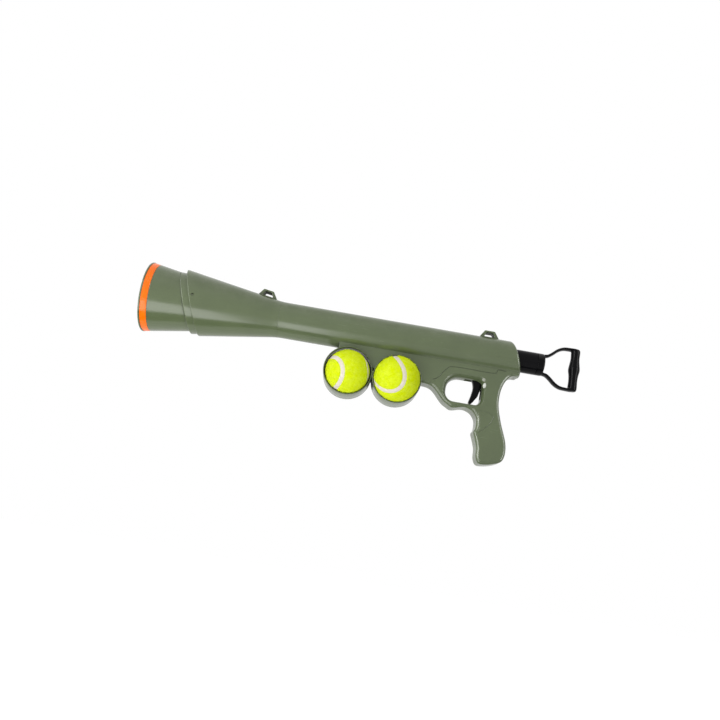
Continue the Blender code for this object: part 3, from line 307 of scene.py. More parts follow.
# Balls. A swell is the rate of one unevenness of the felt, and its height in mm.
SEAM_SHARE = 0.82
FRONT_BALL_TURN = (82.15, 28.9, 21.2)
REAR_BALL_TURN = (40.5, -31.7, -88.5)
FELT_CUTS = 55
FELT_SINK = 0.1 * MM
FELT_SWELLS_MM = ((9.0, 0.20), (34.0, 0.16))
CHANNEL_DEPTH = 0.9 * MM
CHANNEL_EASE = 1.1 * MM
CHANNEL_POINTS = 720
FIBRE_LEAN = 0.75
FIBRE_ROOT = 0.15 * MM
FIBRE_EDGE = 0.7
# How far a fibre leans over, and how much of it stands up and how much leans
FIBRE_BEND = 0.8
FIBRE_STANDING = 0.6
FIBRE_LEANING = 0.5
FIBRE_THICK_MM = (0.05, 0.09)
FIBRE_SHARES = (0.45, 1.15)
# Outside the ring, patches of the fibres are longer: their rate, their level, and how much longer
# and thicker
TUFT_RATE = 6.0
TUFT_LEVEL = 0.12
TUFT_LONGER = 2.0
TUFT_THICKER = 2.2
SEAM_POINTS = 360
SEAM_SINK = 0.85 * MM
SEAM_EDGE = 0.25 * MM
SEAM_THICK = 0.55 * MM
SEAM_WOBBLE = 0.05
SEAM_WOBBLE_RATE = 11.0

# Plunger
STROKE = 100.0 * MM
BUMPER_LENGTH = 3.0 * MM
PISTON_STATION = BARREL_STATION + TENON_LENGTH + BUMPER_LENGTH + 2 * FIT_GAP
PISTON_BACK = PISTON_STATION + 14.0 * MM
STEM_RADIUS = TUBE_RADIUS - 3.2 * MM
TUBE_WALL = 2.6 * MM
TUBE_EASE = 0.25 * MM
CATCH_WIDTH = 6.6 * MM
CATCH_DEPTH = 1.6 * MM

# Striker pad. Its eye is depth and radius, its dish depth in mm and share of the pad's radius, and its
# groove run and depth in mm.
PAD_STATION = PISTON_STATION - 52.0 * MM
PAD_RADIUS = NECK_RADIUS - 1.2 * MM
PAD_LENGTH = 14.0 * MM
PAD_ROUND = 4.0 * MM
PAD_EASE = 0.4 * MM
PAD_EYE = (2.0 * MM, 0.6 * MM)
PAD_DISH_MM = ((1.8, 0.25), (1.0, 0.5), (0.2, 0.72))
PAD_GROOVES = (7.0 * MM, 10.0 * MM)
PAD_GROOVE_MM = ((-0.6, 0.0), (-0.3, 0.5), (0.3, 0.5), (0.6, 0.0))
PAD_SOCKET = 7.0 * MM

# Pull handle
PLUG_LENGTH = 15.0 * MM
PLUG_GAP = 0.12 * MM
HANDLE_STATION = RECEIVER_STATION + 28.7 * MM
HANDLE_BASE = 10.2 * MM
HANDLE_BASE_ROUND = 2.2 * MM
HANDLE_REACH = 54.4 * MM
HANDLE_HALF = 30.6 * MM
ARM_HALF_THICK = 2.2 * MM
ARM_HALF_DEPTH = 6.6 * MM
BAR_HALF_WIDTH = 8.05 * MM
BAR_HALF_DEPTH = 8.4 * MM
HANDLE_VOXEL = 0.55 * MM
HANDLE_PASSES = 16
# The arm's middle line, as shares of the reach behind the base's front and of the half height
ARM_SHARES = (
    (0.12, 0.39), (0.21, 0.43), (0.29, 0.46), (0.40, 0.60), (0.52, 0.79), (0.67, 0.92), (0.85, 0.945),
    (0.98, 0.95),
)
# The bar's width along its height, as shares of the half height and of the full width
BAR_SHARES = (
    (-1.00, 0.50), (-0.97, 0.68), (-0.91, 0.77), (-0.80, 0.80), (-0.52, 0.76), (-0.25, 0.83),
    (0.00, 1.00), (0.25, 0.89), (0.52, 0.76), (0.80, 0.79), (0.91, 0.77), (0.97, 0.68), (1.00, 0.50),
)

# Trigger. Its side, from its pivot: shares of its depth behind and of its height below the pivot.
TRIGGER_DEPTH = 18.5 * MM
TRIGGER_HEIGHT = 38.6 * MM
TRIGGER_HALF = 4.2 * MM
TRIGGER_ROUND = 0.9 * MM
PIN_HOLE = 1.7 * MM
PIN_HOLE_REACH = 6.0 * MM
TRIGGER_SHARES = (
    (-1.00, 0.075), (-1.00, 0.127), (-0.60, 0.130), (-0.45, 0.230), (-0.37, 0.400),
    (-0.40, 0.560), (-0.47, 0.740), (-0.58, 0.950), (-0.50, 1.000), (-0.34, 0.985),
    (-0.14, 0.840), (0.05, 0.690), (0.15, 0.440), (0.22, 0.200), (0.32, 0.040),
    (0.70, -0.110), (0.70, -0.197), (0.45, -0.197), (0.25, -0.120), (-0.25, -0.110),
    (-0.60, -0.010),
)

# Springs. A coil is its middle radius, its wire and its turns.
MAIN_COIL = ((BORE_RADIUS + TUBE_RADIUS) / 2, 2.2 * MM, 15)
LEVER_COIL = (2.4 * MM, 0.8 * MM, 5)
SEAR_SPRING_REACH = 22.0 * MM
TRIGGER_SPRING_DROP = 11.0 * MM
TRIGGER_SPRING_REACH = 4.07 * MM

# The photograph's camera
CAMERA_PLACE = Vector((-0.18506, -1.05438, -0.18570))
CAMERA_RISE = math.radians(13.5)
CAMERA_ROLL = math.radians(9.85)
SENSOR_WIDTH = 36.0

# Studio. The flag is a black cloth between the low panel and the launcher.
FLOOR_HALF = 6.0
SEEN_GLOW = 0.33
CAMERA_GLOW = 0.22
FLAG_HEIGHT = -0.428
FLAG_OUTLINE = ((-1.6, -0.285), (0.6, -0.285), (0.6, -0.20), (-0.20, -0.08), (-0.47, 0.08), (-1.6, 0.10))
WHITE = (1.0, 1.0, 1.0, 1.0)
# Lights: name, place, aim, width and height, the setting that holds the power, and share of it
LIGHTS = (
    ("low_panel", (-0.76, -0.66, -0.43), (-0.76, -0.66, 1.0), (1.0, 0.74), "panel_power", 1.0),
    ("key_light", (-0.7, -1.3, 1.7), (-0.15, 0.0, 0.1), (1.6, 1.2), "key_power", 1.0),
    ("back_light", (0.9, 1.3, 1.5), (-0.15, 0.0, 0.1), (1.4, 1.0), "key_power", 0.5),
    ("left_glint", (-1.14, -1.20, 0.32), (-0.10, 0.0, 0.32), (0.32, 1.45), "glint_power", 1.15),
    ("left_wall_glint", (-2.2, -0.7, 0.9), (0.0, -0.7, 0.9), (2.2, 2.6), "glint_power", 2.4),
    ("right_glint", (0.95, -0.66, 0.20), (-0.02, 0.0, 0.20), (0.36, 1.25), "glint_power", 0.9),
)

# Facets
ROUND_SIDES = 144
TUBE_SIDES = 96
SMALL_SIDES = 32
HOLE_SIDES = 24
CAP_SIDES = 28
ARM_SIDES = 24
BAR_SIDES = 36
SEAM_SIDES = 12
COIL_POINTS = 24
WIRE_SIDES = 10

# How outlines are worked: the rounds that settle a raked ring, the sharpest mitre of a grown outline,
# the steps in which a point's room is searched, and the share of it that has to be clear
RAKE_ROUNDS = 40
MITRE_LIMIT = 0.5
ROOM_STEPS = 8
ROOM_CLEAR = 0.93


# Shapes


def linked(name, data):
    """An object of a mesh, a light or a camera, put in the scene."""
    made = bpy.data.objects.new(name, data)
    bpy.context.scene.collection.objects.link(made)
    return made


def mesh_object(name, points, faces):
    """An object of the given points and faces, with its normals made to point out."""
    mesh = bpy.data.meshes.new(name)
    mesh.from_pydata([tuple(point) for point in points], [], faces)
    shape = bmesh.new()
    shape.from_mesh(mesh)
    bmesh.ops.recalc_face_normals(shape, faces=shape.faces)
    shape.to_mesh(mesh)
    shape.free()
    return linked(name, mesh)


def lofted(name, rings, closed=False):
    """Skins rings of equal point counts, joined end to start when closed and capped otherwise."""
    count = len(rings[0])
    points = [point for ring in rings for point in ring]
    faces = []
    for row in range(len(rings) if closed else len(rings) - 1):
        here = row * count
        there = (row + 1) % len(rings) * count
        for column in range(count):
            after = (column + 1) % count
            faces.append((here + column, here + after, there + after, there + column))
    if not closed:
        last = (len(rings) - 1) * count
        faces.append(tuple(range(count)))
        faces.append(tuple(range(last, last + count)))
    return mesh_object(name, points, faces)


def hoop(station, radius, sides=ROUND_SIDES, rake=0.0):
    """A ring of points round the bore. A raked one leans forward at its top, and radius may be a
    function of the station."""
    ring = []
    for index in range(sides):
        angle = math.tau * index / sides
        at = station
        size = radius(at) if callable(radius) else radius
        if rake:
            for _ in range(RAKE_ROUNDS):
                at = station - rake * size * math.sin(angle)
                size = radius(at) if callable(radius) else radius
        ring.append(Vector((at, size * math.cos(angle), size * math.sin(angle))))
    return ring


def oval(centre, along, across, half_along, half_across, sides):
    """A ring of points on an oval in the plane of two directions."""
    return [
        centre + along * half_along * math.cos(math.tau * i / sides)
        + across * half_across * math.sin(math.tau * i / sides)
        for i in range(sides)
    ]


def turned(name, profile, sides=TUBE_SIDES, closed=True):
    """A piece turned round the bore from (station, radius) pairs."""
    return lofted(name, [hoop(station, radius, sides) for station, radius in profile], closed)


def turned_across(name, place, steps, sides=SMALL_SIDES, closed=False):
    """A piece turned round an axis across the parting plane, from (depth, radius) pairs."""
    rings = []
    for depth, radius in steps:
        centre = Vector((place[0], depth, place[1]))
        rings.append(oval(centre, ALONG, UP, radius, radius, sides))
    return lofted(name, rings, closed)


def prism(name, outline, near, far):
    """Extrudes an outline of (station, height) pairs across the parting plane."""
    return lofted(name, [[Vector((x, y, z)) for x, z in outline] for y in (near, far)])


def block(name, low, high):
    """A box between two corners."""
    corners = ((low[0], low[2]), (high[0], low[2]), (high[0], high[2]), (low[0], high[2]))
    return prism(name, corners, low[1], high[1])


def signed_area(outline):
    """Twice the area that the outline goes round, positive when it runs anticlockwise."""
    return sum(a[0] * b[1] - b[0] * a[1] for a, b in zip(outline, outline[1:] + outline[:1]))


def grown(outline, distance):
    """The outline moved outwards by a distance, with mitred corners."""
    turn = 1.0 if signed_area(outline) > 0 else -1.0
    result = []
    for index, spot in enumerate(outline):
        here = Vector(spot)
        entry = (here - Vector(outline[index - 1])).normalized()
        leave = (Vector(outline[(index + 1) % len(outline)]) - here).normalized()
        normal = Vector((entry.y + leave.y, -entry.x - leave.x)).normalized() * turn
        spread = max(normal.dot(Vector((entry.y, -entry.x)) * turn), MITRE_LIMIT)
        result.append(tuple(here + normal * distance / spread))
    return result


def rounded_prism(name, outline, half, edge, flare=False, steps=5):
    """An extrusion centred on the parting plane whose outer edges are rounded inwards or, for a
    cutter, flared outwards."""
    levels = []
    for step in range(steps + 1):
        angle = math.pi / 2 * step / steps
        levels.append((half - edge + edge * math.sin(angle), edge * (1 - math.cos(angle))))
    if flare:
        levels.append((half + OVERRUN, edge))
    full = [(-depth, inset) for depth, inset in reversed(levels)] + levels
    rings = []
    for depth, inset in full:
        shifted = grown(outline, inset if flare else -inset) if inset > 0 else outline
        rings.append([Vector((x, depth, z)) for x, z in shifted])
    return lofted(name, rings)


def outline_normals(outline):
    """The outward direction at each point of an outline."""
    turn = 1.0 if signed_area(outline) > 0 else -1.0
    result = []
    for index, spot in enumerate(outline):
        entry = (Vector(spot) - Vector(outline[index - 1])).normalized()
        leave = (Vector(outline[(index + 1) % len(outline)]) - Vector(spot)).normalized()
        result.append(Vector((entry.y + leave.y, -entry.x - leave.x)).normalized() * turn)
    return result


def inset_room(outline, deepest):
    """How far each point of an outline can move inwards before it nears another side."""
    count = len(outline)
    spots = [Vector(spot) for spot in outline]
    sides = [(spots[i - 1], spots[i]) for i in range(count)]

    def clearance(spot):
        """The distance from a spot to the outline's nearest side."""
        nearest = deepest * 4
        for start, end in sides:
            run = end - start
            share = max(0.0, min(1.0, (spot - start).dot(run) / run.dot(run)))
            nearest = min(nearest, (start + run * share - spot).length)
        return nearest

    room = []
    for spot, way in zip(spots, outline_normals(outline)):
        reach = deepest * 2
        while reach > deepest / ROOM_STEPS and clearance(spot - way * reach) < reach * ROOM_CLEAR:
            reach -= deepest / ROOM_STEPS
        room.append(reach)
    for _ in range(3):
        room = [min(room[i - 1], room[i], room[(i + 1) % count]) for i in range(count)]
    for _ in range(6):
        room = [(room[i - 1] + 2 * room[i] + room[(i + 1) % count]) / 4 for i in range(count)]
    return room


def inset(outline, room, distance):
    """The outline moved inwards by a distance that eases off where there is little room."""
    moved = []
    for spot, way, reach in zip(outline, outline_normals(outline), room):
        moved.append(tuple(Vector(spot) - way * reach * math.tanh(distance / reach)))
    return moved


def shouldered_prism(name, outline, half, profile):
    """An extrusion centred on the parting plane whose edges follow a profile of (depth, inset) pairs."""
    room = inset_room(outline, profile[-1][1])
    levels = [(half - depth, inset(outline, room, move) if move else outline) for depth, move in profile]
    rings = [[Vector((x, -depth, z)) for x, z in ring] for depth, ring in reversed(levels)]
    rings += [[Vector((x, depth, z)) for x, z in ring] for depth, ring in levels]
    return lofted(name, rings)


def filleted(corners, radii, steps=8):
    """A polygon with each corner rounded to its own radius."""
    outline = []
    for index, spot in enumerate(corners):
        here = Vector(spot)
        entry = (Vector(corners[index - 1]) - here).normalized()
        leave = (Vector(corners[(index + 1) % len(corners)]) - here).normalized()
        half = math.acos(max(-1.0, min(1.0, entry.dot(leave)))) / 2
        radius = radii[index]
        centre = here + (entry + leave).normalized() * radius / math.sin(half)
        start = here + entry * radius / math.tan(half) - centre
        end = here + leave * radius / math.tan(half) - centre
        sweep = start.angle_signed(end)
        for step in range(steps + 1):
            outline.append(tuple(centre + Matrix.Rotation(-sweep * step / steps, 2) @ start))
    return outline


def smoothed(points, steps=4, closed=False):
    """Points on one Catmull-Rom curve through the given points."""
    line = [Vector(point) for point in points]
    count = len(line)
    result = []
    for index in range(count if closed else count - 1):
        if closed:
            p0, p1, p2, p3 = (line[(index + k) % count] for k in (-1, 0, 1, 2))
        else:
            p0, p1, p2, p3 = (line[min(max(index + k, 0), count - 1)] for k in (-1, 0, 1, 2))
        for step in range(steps):
            t = step / steps
            result.append(tuple(0.5 * (
                2 * p1 + (p2 - p0) * t + (2 * p0 - 5 * p1 + 4 * p2 - p3) * t ** 2
                + (3 * p1 - p0 - 3 * p2 + p3) * t ** 3
            )))
    if not closed:
        result.append(tuple(line[-1]))
    return result


def applied(made):
    """Applies the object's modifiers to its mesh."""
    graph = bpy.context.evaluated_depsgraph_get()
    result = bpy.data.meshes.new_from_object(made.evaluated_get(graph))
    old = made.data
    made.modifiers.clear()
    made.data = result
    bpy.data.meshes.remove(old)
    return made


def combined(made, tools, operation):
    """Applies exact Booleans one after another and takes their tools away."""
    for tool in tools:
        step = made.modifiers.new("step", "BOOLEAN")
        step.operation = operation
        step.object = tool
        step.solver = "EXACT"
        applied(made)
        bpy.data.objects.remove(tool)
    return made


def joined(made, *tools):
    """The object with other shapes fused to it."""
    return combined(made, tools, "UNION")


def cut(made, *tools):
    """The object with other shapes taken out of it."""
    return combined(made, tools, "DIFFERENCE")


def bundled(name, shapes):
    """Several shapes put in one object as they are."""
    whole = bmesh.new()
    for shape in shapes:
        whole.from_mesh(shape.data)
        bpy.data.objects.remove(shape)
    mesh = bpy.data.meshes.new(name)
    whole.to_mesh(mesh)
    whole.free()
    return linked(name, mesh)


def round_over(size, steps=4):
    """(run, drop) pairs of a quarter round, from its end face to its side."""
    angles = [math.pi / 2 * i / steps for i in range(steps + 1)]
    return [(size * (1 - math.cos(angle)), size * (1 - math.sin(angle))) for angle in angles]


def placed(made, skin, body, slot, *nodes, angle=32.0, flat=False):
    """Moves a piece from the bore's frame to the world's, smooths it, gives it its material, and
    lets it ride on its body in place of its nodes. flat keeps the shading of its flat faces even."""
    made.data.transform(Matrix.Translation(BORE))
    made.data.materials.clear()
    made.data.materials.append(skin)
    made.data.shade_smooth()
    made.data.set_sharp_from_angle(angle=math.radians(angle))
    if flat:
        even = made.modifiers.new("flat_faces", "WEIGHTED_NORMAL")
        even.keep_sharp = True
        even.weight = 90
    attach(made, body)
    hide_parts(*nodes)
    return made


# Materials

PALE_DUST = (0.62, 0.60, 0.55, 1.0)
GREY_DUST = (0.35, 0.34, 0.32, 1.0)
# Paler orange of the band's edges: partly wear from rubbing, partly a painted highlight
RUB_HIGHLIGHT_ORANGE = (1.0, 0.42, 0.12, 1.0)
GROUPS = {}
SKINS = {}


def add_node(tree, kind, **settings):
    """A new node with the given settings."""
    made = tree.nodes.new(kind)
    for key, value in settings.items():
        setattr(made, key, value)
    return made


def feed(tree, socket, value):
    """Links a socket, or sets it when the value is a constant."""
    if isinstance(value, bpy.types.NodeSocket):
        tree.links.new(value, socket)
    else:
        socket.default_value = value


def calc(tree, operation, first, second=0.0, clamp=False):
    """One Math node."""
    made = add_node(tree, "ShaderNodeMath", operation=operation, use_clamp=clamp)
    feed(tree, made.inputs[0], first)
    feed(tree, made.inputs[1], second)
    return made.outputs[0]


def mixed(tree, share, first, second):
    """A mix of two colours."""
    made = add_node(tree, "ShaderNodeMix", data_type="RGBA")
    feed(tree, made.inputs[0], share)
    feed(tree, made.inputs[6], first)
    feed(tree, made.inputs[7], second)
    return made.outputs[2]


def ranged(tree, value, low, high, to_low, to_high):
    """A clamped change of range."""
    made = add_node(tree, "ShaderNodeMapRange")
    for socket, part in zip(made.inputs, (value, low, high, to_low, to_high)):
        feed(tree, socket, part)
    return made.outputs[0]


def speckle(tree, vector, scale, detail=3.0, roughness=0.55):
    """A noise texture's value."""
    made = add_node(tree, "ShaderNodeTexNoise")
    feed(tree, made.inputs["Vector"], vector)
    feed(tree, made.inputs["Scale"], scale)
    made.inputs["Detail"].default_value = detail
    made.inputs["Roughness"].default_value = roughness
    return made.outputs[0]


def surface_place(tree):
    """The point on the object, in metres."""
    return add_node(tree, "ShaderNodeTexCoord").outputs["Object"]


def new_group(name, inputs, outputs):
    """A shader group with float inputs, and its input and output nodes."""
    tree = bpy.data.node_groups.new(name, "ShaderNodeTree")
    for label, default in inputs:
        socket = tree.interface.new_socket(label, in_out="INPUT", socket_type="NodeSocketFloat")
        socket.default_value = default
    for label, kind in outputs:
        tree.interface.new_socket(label, in_out="OUTPUT", socket_type=kind)
    return tree, add_node(tree, "NodeGroupInput").outputs, add_node(tree, "NodeGroupOutput").inputs


def moulded_surface_group():
    """Fine spark-eroded grain, the slow waviness of a moulding, and faint flow mottling."""
    tree, given, out = new_group(
        "Moulded Surface",
        (("Grain Size", 0.0006), ("Wave Size", 0.006), ("Mottle Size", 0.05), ("Grain Share", 0.5)),
        (("Height", "NodeSocketFloat"), ("Mottle", "NodeSocketFloat")))
    place = surface_place(tree)
    grain = speckle(tree, place, calc(tree, "DIVIDE", 1.0, given["Grain Size"]), 4.0, 0.6)
    wave = speckle(tree, place, calc(tree, "DIVIDE", 1.0, given["Wave Size"]), 1.0, 0.4)
    flow = speckle(tree, place, calc(tree, "DIVIDE", 1.0, given["Mottle Size"]), 5.0, 0.62)
    fine = calc(tree, "MULTIPLY", grain, given["Grain Share"])
    slow = calc(tree, "MULTIPLY", wave, calc(tree, "SUBTRACT", 1.0, given["Grain Share"]))
    feed(tree, out["Height"], calc(tree, "ADD", fine, slow))
    feed(tree, out["Mottle"], ranged(tree, flow, 0.35, 0.65, 0.0, 1.0))
    return tree


def edge_rub_highlight_group():
    """A mask of the outer edges, whose paleness is partly wear from rubbing and partly a painted
    highlight, and the normal that rounds them.
    """
    tree, given, out = new_group(
        "Edge Rub And Highlight", (("Width", 0.0006), ("Break Up", 0.5)),
        (("Mask", "NodeSocketFloat"), ("Normal", "NodeSocketVector")))
    soft = add_node(tree, "ShaderNodeBevel", samples=6)
    feed(tree, soft.inputs["Radius"], given["Width"])
    sharp = add_node(tree, "ShaderNodeNewGeometry").outputs["Normal"]
    dot = add_node(tree, "ShaderNodeVectorMath", operation="DOT_PRODUCT")
    feed(tree, dot.inputs[0], soft.outputs["Normal"])
    feed(tree, dot.inputs[1], sharp)
    edge = ranged(tree, dot.outputs["Value"], 0.995, 0.90, 0.0, 1.0)
    patchy = ranged(tree, speckle(tree, surface_place(tree), 260.0, 4.0), 0.35, 0.65, 0.0, 1.0)
    kept = calc(tree, "SUBTRACT", 1.0, calc(tree, "MULTIPLY", patchy, given["Break Up"]))
    feed(tree, out["Mask"], calc(tree, "MULTIPLY", edge, kept, clamp=True))
    feed(tree, out["Normal"], soft.outputs["Normal"])
    return tree


def recess_shade_group():
    """A mask of deep narrow recesses such as the strap slots, where the mouldings get painted shade."""
    tree, given, out = new_group("Recess Shade", (("Depth", 0.010),), (("Mask", "NodeSocketFloat"),))
    sky = add_node(tree, "ShaderNodeAmbientOcclusion", samples=6, only_local=True)
    feed(tree, sky.inputs["Distance"], given["Depth"])
    feed(tree, out["Mask"], ranged(tree, sky.outputs["AO"], 0.80, 0.50, 0.0, 1.0))
    return tree


def scuff_group():
    """Thin handling scratches that run two ways."""
    tree, given, out = new_group(
        "Scuffs", (("Length", 0.02), ("Amount", 0.5)), (("Mask", "NodeSocketFloat"),))
    lines = []
    for tilt in (0.35, -0.9):
        turn = add_node(tree, "ShaderNodeMapping")
        feed(tree, turn.inputs["Vector"], surface_place(tree))
        turn.inputs["Rotation"].default_value = (0.2, tilt, 0.1)
        turn.inputs["Scale"].default_value = (1.0, 34.0, 34.0)
        streak = speckle(tree, turn.outputs[0], calc(tree, "DIVIDE", 1.0, given["Length"]), 1.0)
        lines.append(ranged(tree, streak, 0.70, 0.76, 0.0, 1.0))
    both = calc(tree, "MAXIMUM", lines[0], lines[1])
    area = ranged(tree, speckle(tree, surface_place(tree), 22.0, 2.0), 0.45, 0.65, 0.0, 1.0)
    feed(tree, out["Mask"], calc(tree, "MULTIPLY", calc(tree, "MULTIPLY", both, area), given["Amount"]))
    return tree


def dust_group():
    """Thin dust that lies on faces turned up."""
    tree, given, out = new_group("Settled Dust", (("Amount", 0.5),), (("Mask", "NodeSocketFloat"),))
    split = add_node(tree, "ShaderNodeSeparateXYZ")
    feed(tree, split.inputs[0], add_node(tree, "ShaderNodeNewGeometry").outputs["Normal"])
    up = ranged(tree, split.outputs["Z"], 0.2, 1.0, 0.0, 1.0)
    cloud = ranged(tree, speckle(tree, surface_place(tree), 60.0, 6.0, 0.7), 0.4, 0.7, 0.0, 1.0)
    feed(tree, out["Mask"], calc(tree, "MULTIPLY", calc(tree, "MULTIPLY", up, cloud), given["Amount"]))
    return tree


def drawn_lines_group():
    """Fine lines along the bore, for drawn and sliding pieces."""
    tree, given, out = new_group("Drawn Lines", (("Pitch", 0.0003),), (("Height", "NodeSocketFloat"),))
    turn = add_node(tree, "ShaderNodeMapping")
    feed(tree, turn.inputs["Vector"], surface_place(tree))
    turn.inputs["Scale"].default_value = (0.02, 1.0, 1.0)
    scale = calc(tree, "DIVIDE", 1.0, given["Pitch"])
    feed(tree, out["Height"], speckle(tree, turn.outputs[0], scale, 3.0))
    return tree


def felt_pile_group():
    """Tangled wool pile: tufts, their shadowed roots, and uneven colour."""
    tree, given, out = new_group(
        "Felt Pile", (("Tuft Size", 0.0012),),
        (("Height", "NodeSocketFloat"), ("Root", "NodeSocketFloat"), ("Tint", "NodeSocketFloat")))
    place = surface_place(tree)
    scale = calc(tree, "DIVIDE", 1.0, given["Tuft Size"])
    wisps = speckle(tree, place, scale, 6.0, 0.72)
    cells = add_node(tree, "ShaderNodeTexVoronoi")
    feed(tree, cells.inputs["Vector"], place)
    feed(tree, cells.inputs["Scale"], scale)
    height = calc(tree, "SUBTRACT", wisps, calc(tree, "MULTIPLY", cells.outputs["Distance"], 0.45))
    feed(tree, out["Height"], height)
    feed(tree, out["Root"], ranged(tree, height, 0.05, 0.45, 1.0, 0.0))
    feed(tree, out["Tint"], ranged(tree, speckle(tree, place, 160.0, 4.0, 0.6), 0.35, 0.65, 0.0, 1.0))
    return tree


def use_group(tree, name, **values):
    """One of the shared groups in a material, with its own values."""
    made = add_node(tree, "ShaderNodeGroup", node_tree=GROUPS[name])
    for key, value in values.items():
        made.inputs[key.replace("_", " ")].default_value = value
    return made.outputs


def new_material(name, metallic=0.0, gloss=0.5):
    """A material with its Principled shader. gloss is the strength of its reflections."""
    made = bpy.data.materials.new(f"{name}_look")
    SKINS[name] = made
    made.use_nodes = True
    shader = made.node_tree.nodes["Principled BSDF"]
    shader.inputs["Metallic"].default_value = metallic
    shader.inputs["Specular IOR Level"].default_value = gloss
    return made, made.node_tree, shader


def shade(colour, factor):
    """A colour made lighter or darker."""
    return tuple(min(1.0, part * factor) for part in colour[:3]) + (1.0,)


def mottled(tree, surface, colour, low, high):
    """A colour that drifts between a darker and a lighter shade of itself."""
    return mixed(tree, surface["Mottle"], shade(colour, low), shade(colour, high))


def tinted(tree, base, mask, strength, tone):
    """A colour turned towards a tone by a share of a mask."""
    return mixed(tree, calc(tree, "MULTIPLY", mask, strength), base, tone)


def bumped(tree, shader, height, strength, distance, normal=None):
    """Puts a bump on the shader's normal."""
    bump = add_node(tree, "ShaderNodeBump")
    bump.inputs["Strength"].default_value = strength
    bump.inputs["Distance"].default_value = distance
    feed(tree, bump.inputs["Height"], height)
    if normal is not None:
        feed(tree, bump.inputs["Normal"], normal)
    feed(tree, shader.inputs["Normal"], bump.outputs[0])


def moulding(name, colour, roughness, grain_size, grain_share, bump,
             rub_highlight=0.35, edge=1.35, gloss=0.5, soft=0.0007):
    """Moulded plastic with its grain, flow mottling, paler edges, scuffs, dust and painted shade in
    recesses.
    The paler edges are partly wear from rubbing and partly a painted highlight; rub and edge are their
    strength and paleness, and soft is their width."""
    made, tree, shader = new_material(name, gloss=gloss)
    surface = use_group(tree, "Moulded Surface", Grain_Size=grain_size, Grain_Share=grain_share)
    rub_and_highlight = use_group(tree, "Edge Rub And Highlight", Width=soft, Break_Up=0.45)
    scuffs = use_group(tree, "Scuffs", Length=0.02, Amount=0.5)
    dust = use_group(tree, "Settled Dust", Amount=0.10)
    recess = use_group(tree, "Recess Shade", Depth=0.010)
    base = mottled(tree, surface, colour, 0.95, 1.05)
    # Paler edges: partly wear from rubbing, partly a painted highlight.
    base = tinted(tree, base, rub_and_highlight["Mask"], rub_highlight, shade(colour, edge))
    base = tinted(tree, base, scuffs["Mask"], 0.25, shade(colour, 1.5))
    base = mixed(tree, dust["Mask"], base, PALE_DUST)
    # Painted shade: the colour goes dark in deep recesses, where shade falls.
    base = mixed(tree, recess["Mask"], base, shade(colour, 0.3))
    feed(tree, shader.inputs["Base Color"], base)
    rough = ranged(tree, surface["Mottle"], 0.0, 1.0, roughness - 0.03, roughness + 0.04)
    rough = calc(tree, "ADD", rough, calc(tree, "MULTIPLY", scuffs["Mask"], 0.25))
    rough = calc(tree, "ADD", rough, calc(tree, "MULTIPLY", dust["Mask"], 0.6))
    rough = calc(tree, "ADD", rough, calc(tree, "MULTIPLY", recess["Mask"], 0.6), clamp=True)
    feed(tree, shader.inputs["Roughness"], rough)
    height = calc(tree, "SUBTRACT", surface["Height"], calc(tree, "MULTIPLY", scuffs["Mask"], 0.3))
    bumped(tree, shader, height, bump, 0.0002, rub_and_highlight["Normal"])
    return made


def band_material(colour):
    """Soft orange rubber with a fine grain and paler edges, partly wear from rubbing and partly a
    painted highlight.
    """
    made, tree, shader = new_material("band_rubber", gloss=0.3)
    surface = use_group(tree, "Moulded Surface", Grain_Size=0.0009, Grain_Share=0.7, Mottle_Size=0.02)
    rub_and_highlight = use_group(tree, "Edge Rub And Highlight", Width=0.0005, Break_Up=0.3)
    base = mottled(tree, surface, colour, 0.94, 1.04)
    # Paler edges: partly wear from rubbing, partly a painted highlight.
    base = tinted(tree, base, rub_and_highlight["Mask"], 0.3, RUB_HIGHLIGHT_ORANGE)
    feed(tree, shader.inputs["Base Color"], base)
    feed(tree, shader.inputs["Roughness"], ranged(tree, surface["Mottle"], 0.0, 1.0, 0.17, 0.24))
    bumped(tree, shader, surface["Height"], 0.06, 0.0002, rub_and_highlight["Normal"])
    return made


def felt_material(colour):
    """Dyed wool felt with shadowed roots and uneven tufts."""
    made, tree, shader = new_material("ball_felt", gloss=0.0)
    pile = use_group(tree, "Felt Pile", Tuft_Size=0.0014)
    pale = tuple(part + 0.04 * (1.0 - part) for part in colour[:3]) + (1.0,)
    base = mixed(tree, pile["Tint"], shade(colour, 0.95), pale)
    base = tinted(tree, base, pile["Root"], 0.35, shade(colour, 0.62))
    feed(tree, shader.inputs["Base Color"], base)
    shader.inputs["Roughness"].default_value = 0.95
    shader.inputs["Sheen Weight"].default_value = 0.04
    shader.inputs["Sheen Roughness"].default_value = 0.5
    shader.inputs["Sheen Tint"].default_value = shade(colour, 1.2)
    bumped(tree, shader, pile["Height"], 0.55, 0.0006)
    return made


def seam_material(colour):
    """Pale rubber seam with a grubby, pitted face."""
    made, tree, shader = new_material("ball_seam")
    surface = use_group(tree, "Moulded Surface", Grain_Size=0.0012, Grain_Share=0.8, Mottle_Size=0.008)
    feed(tree, shader.inputs["Base Color"], mottled(tree, surface, colour, 0.90, 1.04))
    feed(tree, shader.inputs["Roughness"], ranged(tree, surface["Height"], 0.3, 0.7, 0.62, 0.82))
    bumped(tree, shader, surface["Height"], 0.35, 0.0003)
    return made


def rubber_material(name, colour):
    """Matt black rubber with moulding grain and a little dust."""
    made, tree, shader = new_material(name)
    surface = use_group(tree, "Moulded Surface", Grain_Size=0.0007, Grain_Share=0.8, Mottle_Size=0.015)
    dust = use_group(tree, "Settled Dust", Amount=0.15)
    base = mottled(tree, surface, colour, 0.8, 1.5)
    base = mixed(tree, dust["Mask"], base, GREY_DUST)
    feed(tree, shader.inputs["Base Color"], base)
    feed(tree, shader.inputs["Roughness"], ranged(tree, surface["Mottle"], 0.0, 1.0, 0.62, 0.78))
    bumped(tree, shader, surface["Height"], 0.35, 0.0002)
    return made


